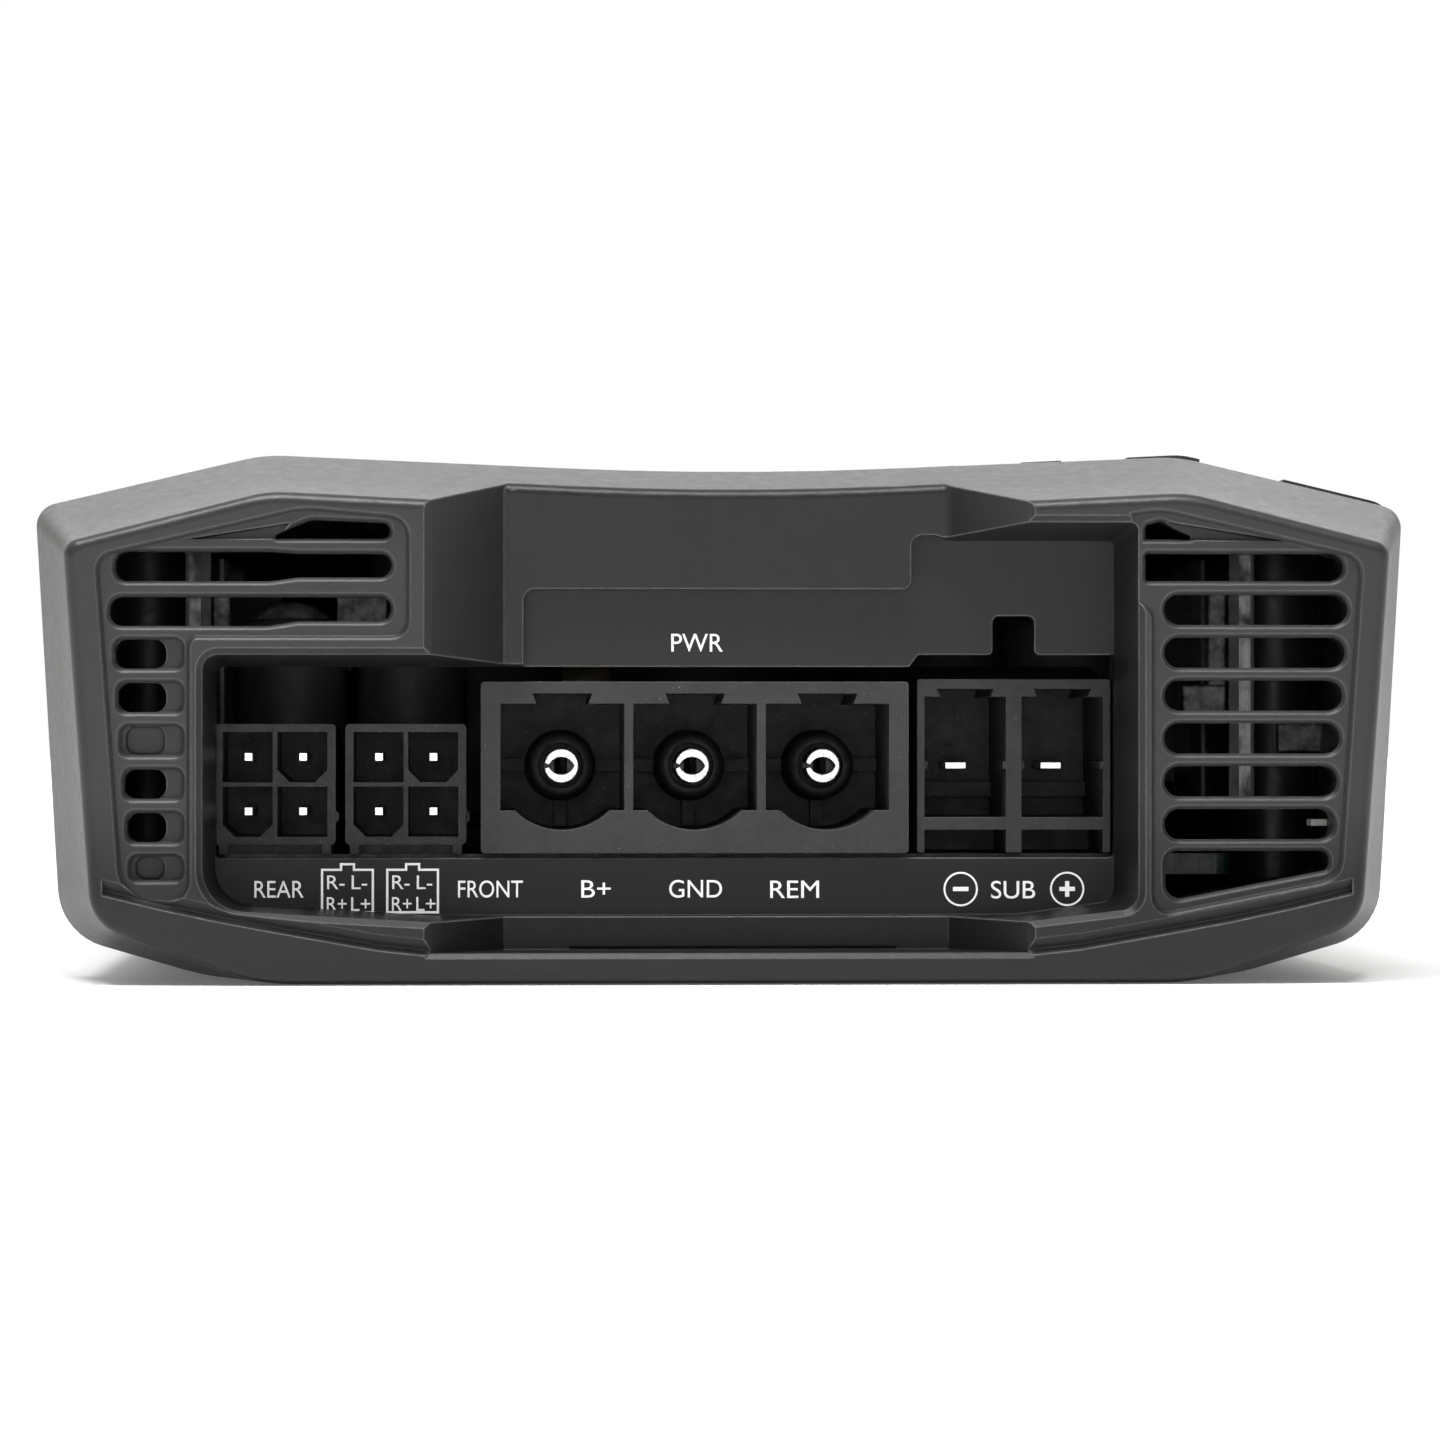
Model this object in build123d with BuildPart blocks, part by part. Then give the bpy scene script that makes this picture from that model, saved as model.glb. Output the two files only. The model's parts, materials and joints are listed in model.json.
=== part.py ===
"""Compact multi-channel car amplifier, as an assembly of separate parts.

Frame: millimetres, +Z up. The origin is the centre of the footprint, on the face the amplifier rests on.
The connector end faces -Y, the control end faces +Y. "Depth" is measured inwards from either end's nose.
"""
from build123d import *
from math import hypot
import os

os.makedirs("parts", exist_ok=True)

# ---------------------------------------------------------------- driving dimensions
LENGTH = 200.0
HALF_LENGTH = LENGTH / 2

CAP_DEPTH = 13.3            # nose face to the back edge of an end cap
CAP_WALL = 3.2              # thickness of the cap's front wall, where the louvres are cut
CHANNEL_DEPTH = 6.8         # nose face to the proud panel
PANEL_DEPTH = 8.3           # nose face to the lower panel and the label strip
PANEL_BACK = 10.4
GRILLE_SINK = 0.5
LIP = 0.3                   # rounding of the louvres' mouths

GASKET = 0.8
BODY_START = CAP_DEPTH + GASKET
CAVITY_TOP = 35.4
RIB_INNER = 39.6            # inner face of the heat spreader ribs
RIB_OUTER = 41.6

COVER_THICKNESS = 1.5
COVER_HALF_WIDTH = 38.2
BOARD_TOP = 9.6
BOARD_THICKNESS = 1.6
BOARD_BOTTOM = BOARD_TOP - BOARD_THICKNESS
BOARD_HALF_WIDTH = 39.8
BOARD_START = 12.0          # depth of the board's front edge

FIT = 0.03                  # radial clearance of a turning or screwed fit
GAP = 0.2                   # gap between neighbouring parts

# mounting holes through the body's four corners
MOUNT_X = 45.4
MOUNT_Y = 70.0
MOUNT_HOLE_R = 2.2
MOUNT_HEAD_R = 4.0
MOUNT_POST_R = 3.7
MOUNT_CUP_R = 4.6
MOUNT_CUP_LOW = 24.0
MOUNT_HEAD_SEAT = 27.0
MOUNT_POST_LOW = 4.1
MOUNT_POST_TOP = 34.4

# power header
POWER_PITCH = 10.16
POWER_CENTRE_X = -2.34
POWER_RIM = 8.0
POWER_DEPTH = 20.0
POWER_CELL_BACK = 15.0
POWER_PIN_Z = 16.4
POWER_PIN_R = 1.34
POWER_PIN_TIP = 6.0         # pin tip, behind the rim

# speaker headers, two rows of two pins
SPEAKER_PITCH = 4.2
SPEAKER_RIM = 10.6
SPEAKER_DEPTH = 11.4
SPEAKER_CELL_BACK = 8.9
SPEAKER_CENTRE_Z = 15.0
SPEAKER_BODY = 9.3
SPEAKER_CELL = 3.85
SPEAKER_PIN = 0.64
SPEAKER_PIN_TIP = 2.0
REAR_X = -34.55
FRONT_X = -24.5

# sub header, two flat blades
SUB_PITCH = 7.5
SUB_CENTRE_X = 22.25
SUB_RIM = 9.0
SUB_DEPTH = 18.0
SUB_CELL_BACK = 14.0
SUB_PIN_Z = 16.4
SUB_PIN_TIP = 8.5

# control end
CONTROL_PANEL_DEPTH = 6.8
CONTROL_PANEL_BACK = 8.8
JACK_COLUMNS = (-32.2, -18.7, -5.2)
JACK_ROWS = (15.8, 28.6)
JACK_SHELL_R = 4.15
JACK_HOLE_R = 4.6
POT_COLUMNS = (13.0, 23.5, 34.0)
GAIN_ROW = 28.6
CROSSOVER_ROW = 19.6
SWITCH_ROW = 12.4
POT_SHAFT_R = 1.7
POT_BORE_R = POT_SHAFT_R + FIT
POT_HOLE_R = 2.3
SWITCH_TRAVEL = 2.0
CONTROL_BOARD_DEPTH = 20.4  # depth of the control board's outer face

# power stage
TRANSISTOR_PITCH = 26.0
TRANSISTOR_FIRST_Y = -60.0
TRANSISTOR_COUNT = 5
TRANSISTOR_BOTTOM = 15.0
TRANSISTOR_HEIGHT = 15.0
TRANSISTOR_THICKNESS = 4.4
PAD_THICKNESS = 0.3
CLAMP_Z = 25.0
CLAMP_THICKNESS = 2.0
CLAMP_SCREW_R = 1.5

M3_R = 1.5
M3_HEAD_R = 2.8


# ---------------------------------------------------------------- planes and helpers
def end_plane(end, depth):
    """Upright plane, X to the right and Z up, at a depth behind the nose of end 1 (-Y) or end -1 (+Y)."""
    return Plane.XZ.offset(end * (HALF_LENGTH - depth))


def front_y(depth):
    """Y of a depth behind the connector end's nose."""
    return -HALF_LENGTH + depth


def side_plane(x):
    """Plane across the amplifier whose sketch is in Y and Z."""
    return Plane.YZ.offset(x)


def save(part, name):
    """Labels a finished piece and writes it."""
    part.label = name
    export_step(part, f"parts/{name}.step")


def closed_outline(points):
    """Straight closed outline inside a BuildSketch."""
    with BuildLine() as outline:
        Polyline(*points, close=True)
    make_face(outline.edges())


def rounded_outline(corners):
    """Closed outline inside a BuildSketch, from (x, z, corner radius) points."""
    with BuildLine() as outline:
        FilletPolyline(*[(x, z) for x, z, r in corners], radius=[r for x, z, r in corners], close=True)
    make_face(outline.edges())


def shell_section(base, chine, corner, ridge, dip):
    """Symmetric section: flat base, raked lower corner, leaning side, sloped shoulder, hollow top.

    Each argument is an (x, z, corner radius) point of the right half; the dip lies on the centre line.
    """
    right = [base, chine, corner, ridge]
    left = [(-x, z, r) for x, z, r in reversed(right)]
    rounded_outline(right + [dip] + left)


NOSE = dict(
    base=(35.0, 0.1, 14),
    chine=(47.72, 4.69, 3.4),
    corner=(49.83, 33.03, 1.2),
    ridge=(34.6, 36.9, 10),
    dip=(0, 35.2, 250),
)
BACK = dict(
    base=(39.4, 0, 16),
    chine=(51.15, 3.45, 4.8),
    corner=(53.08, 36.3, 1.8),
    ridge=(35.5, 40.45, 12),
    dip=(0, 38.95, 300),
)
NOSE_EDGE_R = 0.9


def box_corners(x0, x1, z0, z1, r=0.0):
    """Corners of an upright rectangle with one corner radius."""
    return [(x0, z0, r), (x1, z0, r), (x1, z1, r), (x0, z1, r)]


def flipped(corners):
    """The same outline on the other side of the centre line."""
    return [(-x, z, r) for x, z, r in reversed(corners)]


def run_outline(end, start, stop, corners, mode=Mode.SUBTRACT):
    """Cuts or adds an upright outline between two depths of an end."""
    with BuildSketch(end_plane(end, start)) as profile:
        rounded_outline(corners)
    extrude(profile.sketch, amount=-end * (stop - start), mode=mode)


def grown(corners, amount):
    """The outline with every side moved outwards by amount; rounded corners keep their centres."""
    neighbours = list(zip(corners, corners[1:] + corners[:1]))
    turn = 1 if sum(x0 * z1 - x1 * z0 for (x0, z0, _), (x1, z1, _) in neighbours) > 0 else -1
    sides = []
    for (x0, z0, _), (x1, z1, _) in neighbours:
        length = hypot(x1 - x0, z1 - z0)
        normal_x = turn * (z1 - z0) / length
        normal_z = turn * (x0 - x1) / length
        sides.append((normal_x, normal_z, normal_x * x0 + normal_z * z0 + amount))
    moved = []
    for i, (_, _, r) in enumerate(corners):
        ax, az, a = sides[i - 1]
        bx, bz, b = sides[i]
        cross = ax * bz - bx * az
        bulge = amount if turn * cross > 0 else -amount
        moved.append(((a * bz - b * az) / cross, (ax * b - bx * a) / cross, r + bulge if r else 0))
    return moved


def cut_lipped(end, start, stop, corners, lip):
    """Cuts an outline whose mouth is rounded off over a lip."""
    sections = []
    for share in (0.0, 0.3, 1.0):
        with BuildSketch(end_plane(end, start + share * lip)) as section:
            rounded_outline(grown(corners, (1 - share) ** 1.5 * lip) if share < 1 else corners)
        sections.append(section.sketch.face())
    loft(sections, ruled=True, mode=Mode.SUBTRACT)
    run_outline(end, start, stop, corners)


def run_tapered(end, start, stop, near_corners, far_corners, mode=Mode.SUBTRACT):
    """Cuts or adds a solid whose outline changes evenly between two depths."""
    with BuildSketch(end_plane(end, start)) as near:
        rounded_outline(near_corners)
    with BuildSketch(end_plane(end, stop)) as far:
        rounded_outline(far_corners)
    loft([near.sketch.face(), far.sketch.face()], ruled=True, mode=mode)


def cut_channel(end, low_z, high_z):
    """Cuts the central channel, wide at the nose and narrow at the proud panel."""
    nose_y = end * -HALF_LENGTH
    panel_y = end * -(HALF_LENGTH - CHANNEL_DEPTH)
    rounding_y = end * -(HALF_LENGTH - CHANNEL_EDGE)
    with BuildSketch(Plane.XY.offset(low_z)) as plan:
        right = [
            (CHANNEL_NOSE_X + CHANNEL_EDGE / 2, nose_y),
            (CHANNEL_NOSE_X - CHANNEL_EDGE / 2, rounding_y),
            (CHANNEL_BACK_X, panel_y),
        ]
        closed_outline(right + [(-x, y) for x, y in reversed(right)])
    extrude(plan.sketch, amount=high_z - low_z, mode=Mode.SUBTRACT)


def cap_blank(end):
    """Flared end cap with a rounded nose edge, before its openings are cut."""
    with BuildSketch(end_plane(end, 0)) as nose:
        shell_section(**NOSE)
    with BuildSketch(end_plane(end, CAP_DEPTH)) as back:
        shell_section(**BACK)
    loft([nose.sketch.face(), back.sketch.face()], ruled=True)
    nose_face = faces().sort_by(Axis.Y)[0 if end == 1 else -1]
    fillet(nose_face.edges(), radius=NOSE_EDGE_R)


CHANNEL_NOSE_X = 22.7
CHANNEL_BACK_X = 17.0
CHANNEL_EDGE = 0.6
CHANNEL_LOW_Z = 24.0
CHANNEL_HIGH_Z = 45.0
PANEL_TOP_R = 0.8

# the channel's continuation through the lower lip, with a small chamfer along its floor
LIP_GAP_LOW_Z = 2.4
LIP_GAP_HIGH_Z = 5.2
LIP_EDGE = 0.4
LIP_EDGE_NEAR = box_corners(-22.9, 22.9, 2.0, 4.0)
LIP_EDGE_FAR = box_corners(-22.5, 22.5, 2.45, 3.6)

# space behind the panels, open to the body
REAR_SPACE = [(44.0, 3.2, 2), (48.6, 5.2, 2), (50.0, 33.4, 2), (35.5, 36.8, 6), (0, 35.6, 0)]


def cut_rear_space(end, start):
    """Opens the back of a cap to the body's inside."""
    right = REAR_SPACE[:-1]
    run_outline(end, start, CAP_DEPTH, right + [REAR_SPACE[-1]] + flipped(right))


def add_tongues(end):
    """Two tongues that reach into the body and take the cap's screws from below."""
    for x in (-TONGUE_X, TONGUE_X):
        run_outline(end, PANEL_DEPTH, TONGUE_END, box_corners(x - 5, x + 5, 2.6, 5.0), mode=Mode.ADD)
        run_outline(end, BODY_START + 1, TONGUE_END, box_corners(x - 5, x + 5, 1.7, 2.7), mode=Mode.ADD)
        with BuildSketch(Plane.XY.offset(1.7)) as hole:
            with Locations((x, -end * (HALF_LENGTH - TONGUE_SCREW_DEPTH))):
                Circle(M3_R + FIT)
        extrude(hole.sketch, amount=3.4, mode=Mode.SUBTRACT)


TONGUE_X = 22.0
TONGUE_END = 26.0
TONGUE_SCREW_DEPTH = 21.0

# ---------------------------------------------------------------- connector end cap
BAY_INNER_X = 15.3          # left side of the bay's upper part, inside the channel

# outlines on the nose face and on the panel, as (x, z, corner radius)
BAY_NEAR = [
    (-39.6, 24.86, 1.2),
    (-39.6, 5.7, 3.2),
    (-22.4, 4.7, 12),
    (22.4, 4.7, 12),
    (30.9, 5.7, 1.4),
    (30.9, 34.9, 0.6),
    (BAY_INNER_X, 34.9, 0),
    (BAY_INNER_X, 24.86, 0),
]
BAY_EDGE = 0.45
BAY_FAR = [
    (-39.0, 24.05, 1.0),
    (-39.0, 6.0, 2.8),
    (-22.4, 5.0, 12),
    (22.4, 5.0, 12),
    (29.9, 6.0, 1.2),
    (29.9, 33.7, 0.5),
    (BAY_INNER_X, 33.7, 0),
    (BAY_INNER_X, 24.05, 0),
]
LOWER_PANEL = [
    (-15.5, 23.8, 0),
    (-15.5, 29.94, 0.9),
    (14.15, 29.94, 0.7),
    (14.15, 34.1, 0.9),
    (16.0, 34.1, 0.4),
    (17.2, 33.7, 0),
    (17.2, 23.8, 0),
]
CONNECTOR_WINDOW = [
    (-39.0, 9.38, 0.4),
    (29.9, 9.38, 0.4),
    (29.9, 24.95, 0),
    (23.76, 24.95, 0.4),
    (23.76, 27.93, 0.5),
    (20.53, 27.93, 0.5),
    (20.53, 24.95, 0.4),
    (14.8, 24.95, 0.3),
    (14.1, 24.02, 0.3),
    (-39.0, 24.02, 0.6),
]
LEFT_GRILLE = [
    (-45.5, 6.6, 2.6),
    (-47.35, 32.1, 1.2),
    (-32.0, 35.65, 6),
    (-24.3, 34.95, 1.4),
    (-24.3, 26.2, 1.2),
    (-40.7, 26.2, 0.8),
    (-40.7, 6.2, 1.6),
]
RIGHT_GRILLE = [
    (30.4, 29.2, 0),
    (32.0, 28.0, 0.8),
    (32.0, 5.2, 1.2),
    (46.0, 8.0, 1.8),
    (47.65, 32.1, 1.4),
    (32.5, 35.65, 6),
    (30.4, 35.3, 0),
]
LEFT_CAVITY = [
    (-45.2, 7.0, 0.8),
    (-46.9, 32.2, 0.8),
    (-35.0, 35.3, 0.8),
    (-24.9, 35.3, 0.8),
    (-24.9, 26.6, 0.8),
    (-41.9, 26.6, 0.8),
    (-41.9, 7.0, 0.8),
]
RIGHT_CAVITY = [
    (32.4, 6.0, 0.8),
    (45.6, 8.3, 0.8),
    (47.1, 31.9, 0.8),
    (35.6, 35.3, 0.8),
    (31.7, 35.3, 0.4),
    (31.7, 20.0, 0.4),
]

# left louvres: two long slots and a tapered one above the bay, six short ones beside it
LEFT_LONG_SLOTS = [
    [
        (-46.1, 30.3, 0.95),
        (-34.6, 30.3, 3),
        (-32.4, 30.6, 3),
        (-25.45, 30.6, 0.9),
        (-25.45, 32.4, 0.85),
        (-32.4, 32.4, 3),
        (-34.6, 32.55, 3),
        (-46.1, 32.55, 0.95),
    ],
    [
        (-46.5, 26.95, 0.95),
        (-34.6, 26.95, 3),
        (-32.4, 27.3, 3),
        (-25.45, 27.3, 0.9),
        (-25.45, 29.15, 0.85),
        (-46.5, 29.15, 0.95),
    ],
]
LEFT_TOP_SLOT = [(-34.9, 33.5, 0.2), (-25.55, 33.5, 0.6), (-25.55, 34.7, 0.6), (-31.5, 34.95, 2)]
LEFT_TOP_SLIVER = [(-40.8, 33.45, 0), (-34.0, 33.5, 0), (-33.0, 34.7, 0)]
RIGHT_TOP_SLIVER = [(34.0, 33.5, 0), (42.0, 33.45, 0), (33.0, 34.9, 0)]
LEFT_SHORT_COUNT = 6
LEFT_SHORT_TOP = 25.95
LEFT_SHORT_PITCH = 3.25
LEFT_SHORT_HEIGHT = 2.2
LEFT_SHORT_BLIND = (2, 5)

# right louvres: seven rounded slots of one pitch, with tapered ones above and below
RIGHT_SLOT_COUNT = 6
RIGHT_SLOT_TOP = 29.4
RIGHT_SLOT_PITCH = 3.24
RIGHT_SLOT_HEIGHT = 2.3
RIGHT_TOP_SLOT = [(31.4, 33.55, 0), (35.6, 33.55, 0.2), (32.6, 34.95, 0.6), (31.4, 34.6, 0.3)]
RIGHT_OPEN_SLOT = [(31.4, 30.4, 0.2), (46.4, 30.4, 1.0), (46.4, 32.5, 1.0), (31.4, 32.5, 0.2)]
RIGHT_LOW_SLOT = [(32.9, 6.2, 1.1), (45.3, 8.6, 0.6), (45.3, 10.05, 0.7), (32.9, 10.05, 0.9)]


def cut_left_louvres():
    """Louvres of the left side."""
    through = CAP_WALL + 0.2
    for corners in LEFT_LONG_SLOTS + [LEFT_TOP_SLOT]:
        cut_lipped(1, GRILLE_SINK, through, corners, LIP)
    run_outline(1, GRILLE_SINK, 1.6, LEFT_TOP_SLIVER)
    for i in range(LEFT_SHORT_COUNT):
        top = LEFT_SHORT_TOP - i * LEFT_SHORT_PITCH
        low = top - LEFT_SHORT_HEIGHT
        left = -46.1 + i * 0.23
        if i == LEFT_SHORT_COUNT - 1:
            low = top - 1.8
        cut_lipped(1, GRILLE_SINK, 1.3, box_corners(left, -41.1, low, top, 0.6), LIP)
        if i in LEFT_SHORT_BLIND:
            cut_lipped(1, 1.3, 1.9, box_corners(left + 0.4, -42.5, low + 0.1, top - 0.1, 0.7), 0.15)
        else:
            run_outline(1, 1.3, through, box_corners(left, -42.3, low, top, 0.9))


def cut_right_louvres():
    """Louvres of the right side, each a little shorter than the one above."""
    through = CAP_WALL + 0.2
    for i in range(RIGHT_SLOT_COUNT):
        top = RIGHT_SLOT_TOP - i * RIGHT_SLOT_PITCH
        right = 46.75 - i * 0.2
        slot = box_corners(32.85, right, top - RIGHT_SLOT_HEIGHT, top, 1.1)
        cut_lipped(1, GRILLE_SINK, through, slot, LIP)
    for corners in (RIGHT_TOP_SLOT, RIGHT_OPEN_SLOT, RIGHT_LOW_SLOT):
        cut_lipped(1, GRILLE_SINK, through, corners, LIP)
    run_outline(1, GRILLE_SINK, 1.6, RIGHT_TOP_SLIVER)


# height of the crease below each bay corner, as (x, z) from the channel outwards
CREASE = [(22.2, 2.5), (26.4, 2.95), (32.9, 4.1), (37.8, 5.0), (42.7, 6.05), (47.0, 7.1)]
CREASE_DEPTH = 0.5


def cut_crease(side):
    """Crease between the lower lip and the frame: a long slope above it and a short one below."""
    mouth = [(x, z + 0.9, 0) for x, z in CREASE] + [(x, z - 0.35, 0) for x, z in reversed(CREASE)]
    root = [(x, z + 0.1, 0) for x, z in CREASE] + [(x, z, 0) for x, z in reversed(CREASE)]
    run_tapered(
        1,
        0,
        CREASE_DEPTH,
        [(side * x, z, r) for x, z, r in mouth],
        [(side * x, z, r) for x, z, r in root],
    )


with BuildPart() as connector_end_cap:
    cap_blank(1)
    run_tapered(1, 0, PANEL_DEPTH, BAY_NEAR, BAY_FAR)
    run_tapered(1, 0, BAY_EDGE, grown(BAY_NEAR, BAY_EDGE), BAY_NEAR)
    cut_channel(1, CHANNEL_LOW_Z, CHANNEL_HIGH_Z)
    cut_channel(1, LIP_GAP_LOW_Z, LIP_GAP_HIGH_Z)
    run_tapered(1, 0, LIP_EDGE, LIP_EDGE_NEAR, LIP_EDGE_FAR)
    panel_y = front_y(CHANNEL_DEPTH)
    panel_edges = edges().filter_by_position(Axis.Y, panel_y - FIT, panel_y + FIT)
    fillet(panel_edges.filter_by_position(Axis.Z, 35.5, 40), radius=PANEL_TOP_R)
    run_outline(1, CHANNEL_DEPTH, PANEL_DEPTH, LOWER_PANEL)
    run_outline(1, PANEL_DEPTH, CAP_DEPTH, CONNECTOR_WINDOW)
    run_outline(1, CHANNEL_DEPTH, CHANNEL_DEPTH + 0.5, box_corners(-12, 13, 2.45, 2.62))
    run_outline(1, CAP_WALL, CAP_DEPTH, LEFT_CAVITY)
    run_outline(1, CAP_WALL, CAP_DEPTH, RIGHT_CAVITY)
    cut_rear_space(1, PANEL_BACK)
    cut_lipped(1, 0, GRILLE_SINK, LEFT_GRILLE, LIP)
    cut_lipped(1, 0, GRILLE_SINK, RIGHT_GRILLE, LIP)
    cut_left_louvres()
    cut_right_louvres()
    cut_crease(-1)
    cut_crease(1)
    add_tongues(1)
save(connector_end_cap.part, "connector_end_cap")

# ---------------------------------------------------------------- control end cap
CONTROL_POCKET_NEAR = box_corners(-41.0, 41.0, 5.4, 34.4, 2.4)
CONTROL_POCKET_FAR = box_corners(-40.2, 40.2, 6.0, 33.9, 2.0)
CONTROL_CHANNEL_LOW_Z = 33.0
SIDE_SLOT_COUNT = 7
SIDE_SLOT_PITCH = 3.24
SIDE_SLOT_HEIGHT = 2.0
SIDE_CAVITY = [(43.2, 8.0, 0.8), (45.6, 8.3, 0.8), (47.0, 31.8, 0.8), (43.2, 32.4, 0.8)]
SWITCH_HALF_WIDTH = 1.2
SWITCH_HALF_HEIGHT = 0.95
STATUS_LIGHT_X = 4.6
STATUS_LIGHT_R = 1.5


def cut_round_hole(end, start, stop, places, radius):
    """Cuts round holes between two depths of an end."""
    with BuildSketch(end_plane(end, start)) as holes:
        with Locations(*places):
            Circle(radius)
    extrude(holes.sketch, amount=-end * (stop - start), mode=Mode.SUBTRACT)


JACK_PLACES = [(x, z) for z in JACK_ROWS for x in JACK_COLUMNS]
GAIN_PLACES = [(x, GAIN_ROW) for x in POT_COLUMNS]
CROSSOVER_PLACES = [(x, CROSSOVER_ROW) for x in POT_COLUMNS]
SWITCH_PLACES = [(x, SWITCH_ROW) for x in POT_COLUMNS]

with BuildPart() as control_end_cap:
    cap_blank(-1)
    run_tapered(-1, 0, CONTROL_PANEL_DEPTH, CONTROL_POCKET_NEAR, CONTROL_POCKET_FAR)
    cut_channel(-1, CONTROL_CHANNEL_LOW_Z, CHANNEL_HIGH_Z)
    cut_rear_space(-1, CONTROL_PANEL_BACK)
    cut_round_hole(-1, CONTROL_PANEL_DEPTH, CAP_DEPTH, JACK_PLACES, JACK_HOLE_R)
    cut_round_hole(-1, CONTROL_PANEL_DEPTH, CAP_DEPTH, GAIN_PLACES + CROSSOVER_PLACES, POT_HOLE_R)
    cut_round_hole(-1, CONTROL_PANEL_DEPTH, CAP_DEPTH, [(STATUS_LIGHT_X, GAIN_ROW)], STATUS_LIGHT_R + 0.1)
    for x, z in SWITCH_PLACES:
        window_x = SWITCH_TRAVEL + SWITCH_HALF_WIDTH + 0.3
        window_z = SWITCH_HALF_HEIGHT + 0.3
        window = box_corners(x - window_x, x + window_x, z - window_z, z + window_z, 0.3)
        run_outline(-1, CONTROL_PANEL_DEPTH, CAP_DEPTH, window)
    for cavity in (SIDE_CAVITY, flipped(SIDE_CAVITY)):
        run_outline(-1, CAP_WALL, CAP_DEPTH, cavity)
    for i in range(SIDE_SLOT_COUNT):
        low = 9.2 + i * SIDE_SLOT_PITCH
        slot = box_corners(43.3, 45.7 + i * 0.2, low, low + SIDE_SLOT_HEIGHT, 0.8)
        run_outline(-1, 0, CAP_WALL + 0.2, slot)
        run_outline(-1, 0, CAP_WALL + 0.2, flipped(slot))
    add_tongues(-1)
save(control_end_cap.part, "control_end_cap")

# ---------------------------------------------------------------- end gaskets
GASKET_OUTER = dict(
    base=(38.6, 0.5, 14),
    chine=(50.3, 3.9, 4.4),
    corner=(52.1, 35.8, 1.6),
    ridge=(35.3, 39.8, 10),
    dip=(0, 38.4, 300),
)
GASKET_INNER = dict(
    base=(37.5, 2.3, 8),
    chine=(48.2, 6.0, 2),
    corner=(49.9, 33.8, 1),
    ridge=(35.0, 37.3, 6),
    dip=(0, 36.1, 200),
)


def gasket(end):
    """Flat rubber ring between an end cap and the body."""
    with BuildPart() as ring:
        with BuildSketch(end_plane(end, CAP_DEPTH)) as face:
            shell_section(**GASKET_OUTER)
        with BuildSketch(end_plane(end, CAP_DEPTH)) as opening:
            shell_section(**GASKET_INNER)
        extrude(face.sketch, amount=-end * GASKET)
        extrude(opening.sketch, amount=-end * GASKET, mode=Mode.SUBTRACT)
    return ring.part


save(gasket(1), "connector_end_gasket")
save(gasket(-1), "control_end_gasket")

# ---------------------------------------------------------------- heatsink body
BODY_LENGTH = LENGTH - 2 * BODY_START
# outline of the extrusion from the lower right; its right shoulder stands a little proud of the caps
BODY_SECTION = [
    (39.6, 0.12, 14),
    (50.9, 3.7, 4.6),
    (52.7, 36.67, 2.4),
    (35.9, 40.66, 6),
    (0.5, 38.9, 300),
    (-35.0, 40.2, 10),
    (-51.8, 36.1, 2.4),
    (-50.2, 3.7, 4.6),
    (-39.0, 0.12, 14),
]
BODY_CAVITY = [
    (31.0, -1, 0),
    (31.0, 4.0, 0.4),
    (44.0, 4.2, 2),
    (48.0, 6.4, 2),
    (48.9, 32.5, 1.5),
    (35.5, CAVITY_TOP, 4),
]
SHOULDER_GROOVE = [(37.3, 45, 0), (37.3, 38.9, 0.4), (43.9, 37.3, 0.4), (43.9, 45, 0)]
TOP_FIN_COUNT = 8
TOP_FIN_PITCH = 8.3
TOP_GROOVE_WIDTH = 5.2
TOP_GROOVE_FLOOR = 37.6
SIDE_GROOVES = (9.5, 17.5, 25.5)
SIDE_GROOVE_WIDTH = 4.0
SIDE_LEAN = 0.05             # outward lean of the sides, as a slope
COVER_SCREW_X = 34.7
COVER_SCREW_Y = (-60.0, 0.0, 60.0)
CLAMP_SCREW_Y = [TRANSISTOR_FIRST_Y + TRANSISTOR_PITCH * (i + 0.5) for i in range(TRANSISTOR_COUNT - 1)]
COVER_SCREW_PLACES = [(x, y) for x in (-COVER_SCREW_X, COVER_SCREW_X) for y in COVER_SCREW_Y]
MOUNT_PLACES = [(x, y) for x in (-MOUNT_X, MOUNT_X) for y in (-MOUNT_Y, MOUNT_Y)]


def run_body(corners, mode):
    """Adds or cuts an outline along the whole length of the body."""
    with BuildSketch(end_plane(1, BODY_START)) as profile:
        rounded_outline(corners)
    extrude(profile.sketch, amount=-BODY_LENGTH, mode=mode)


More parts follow.
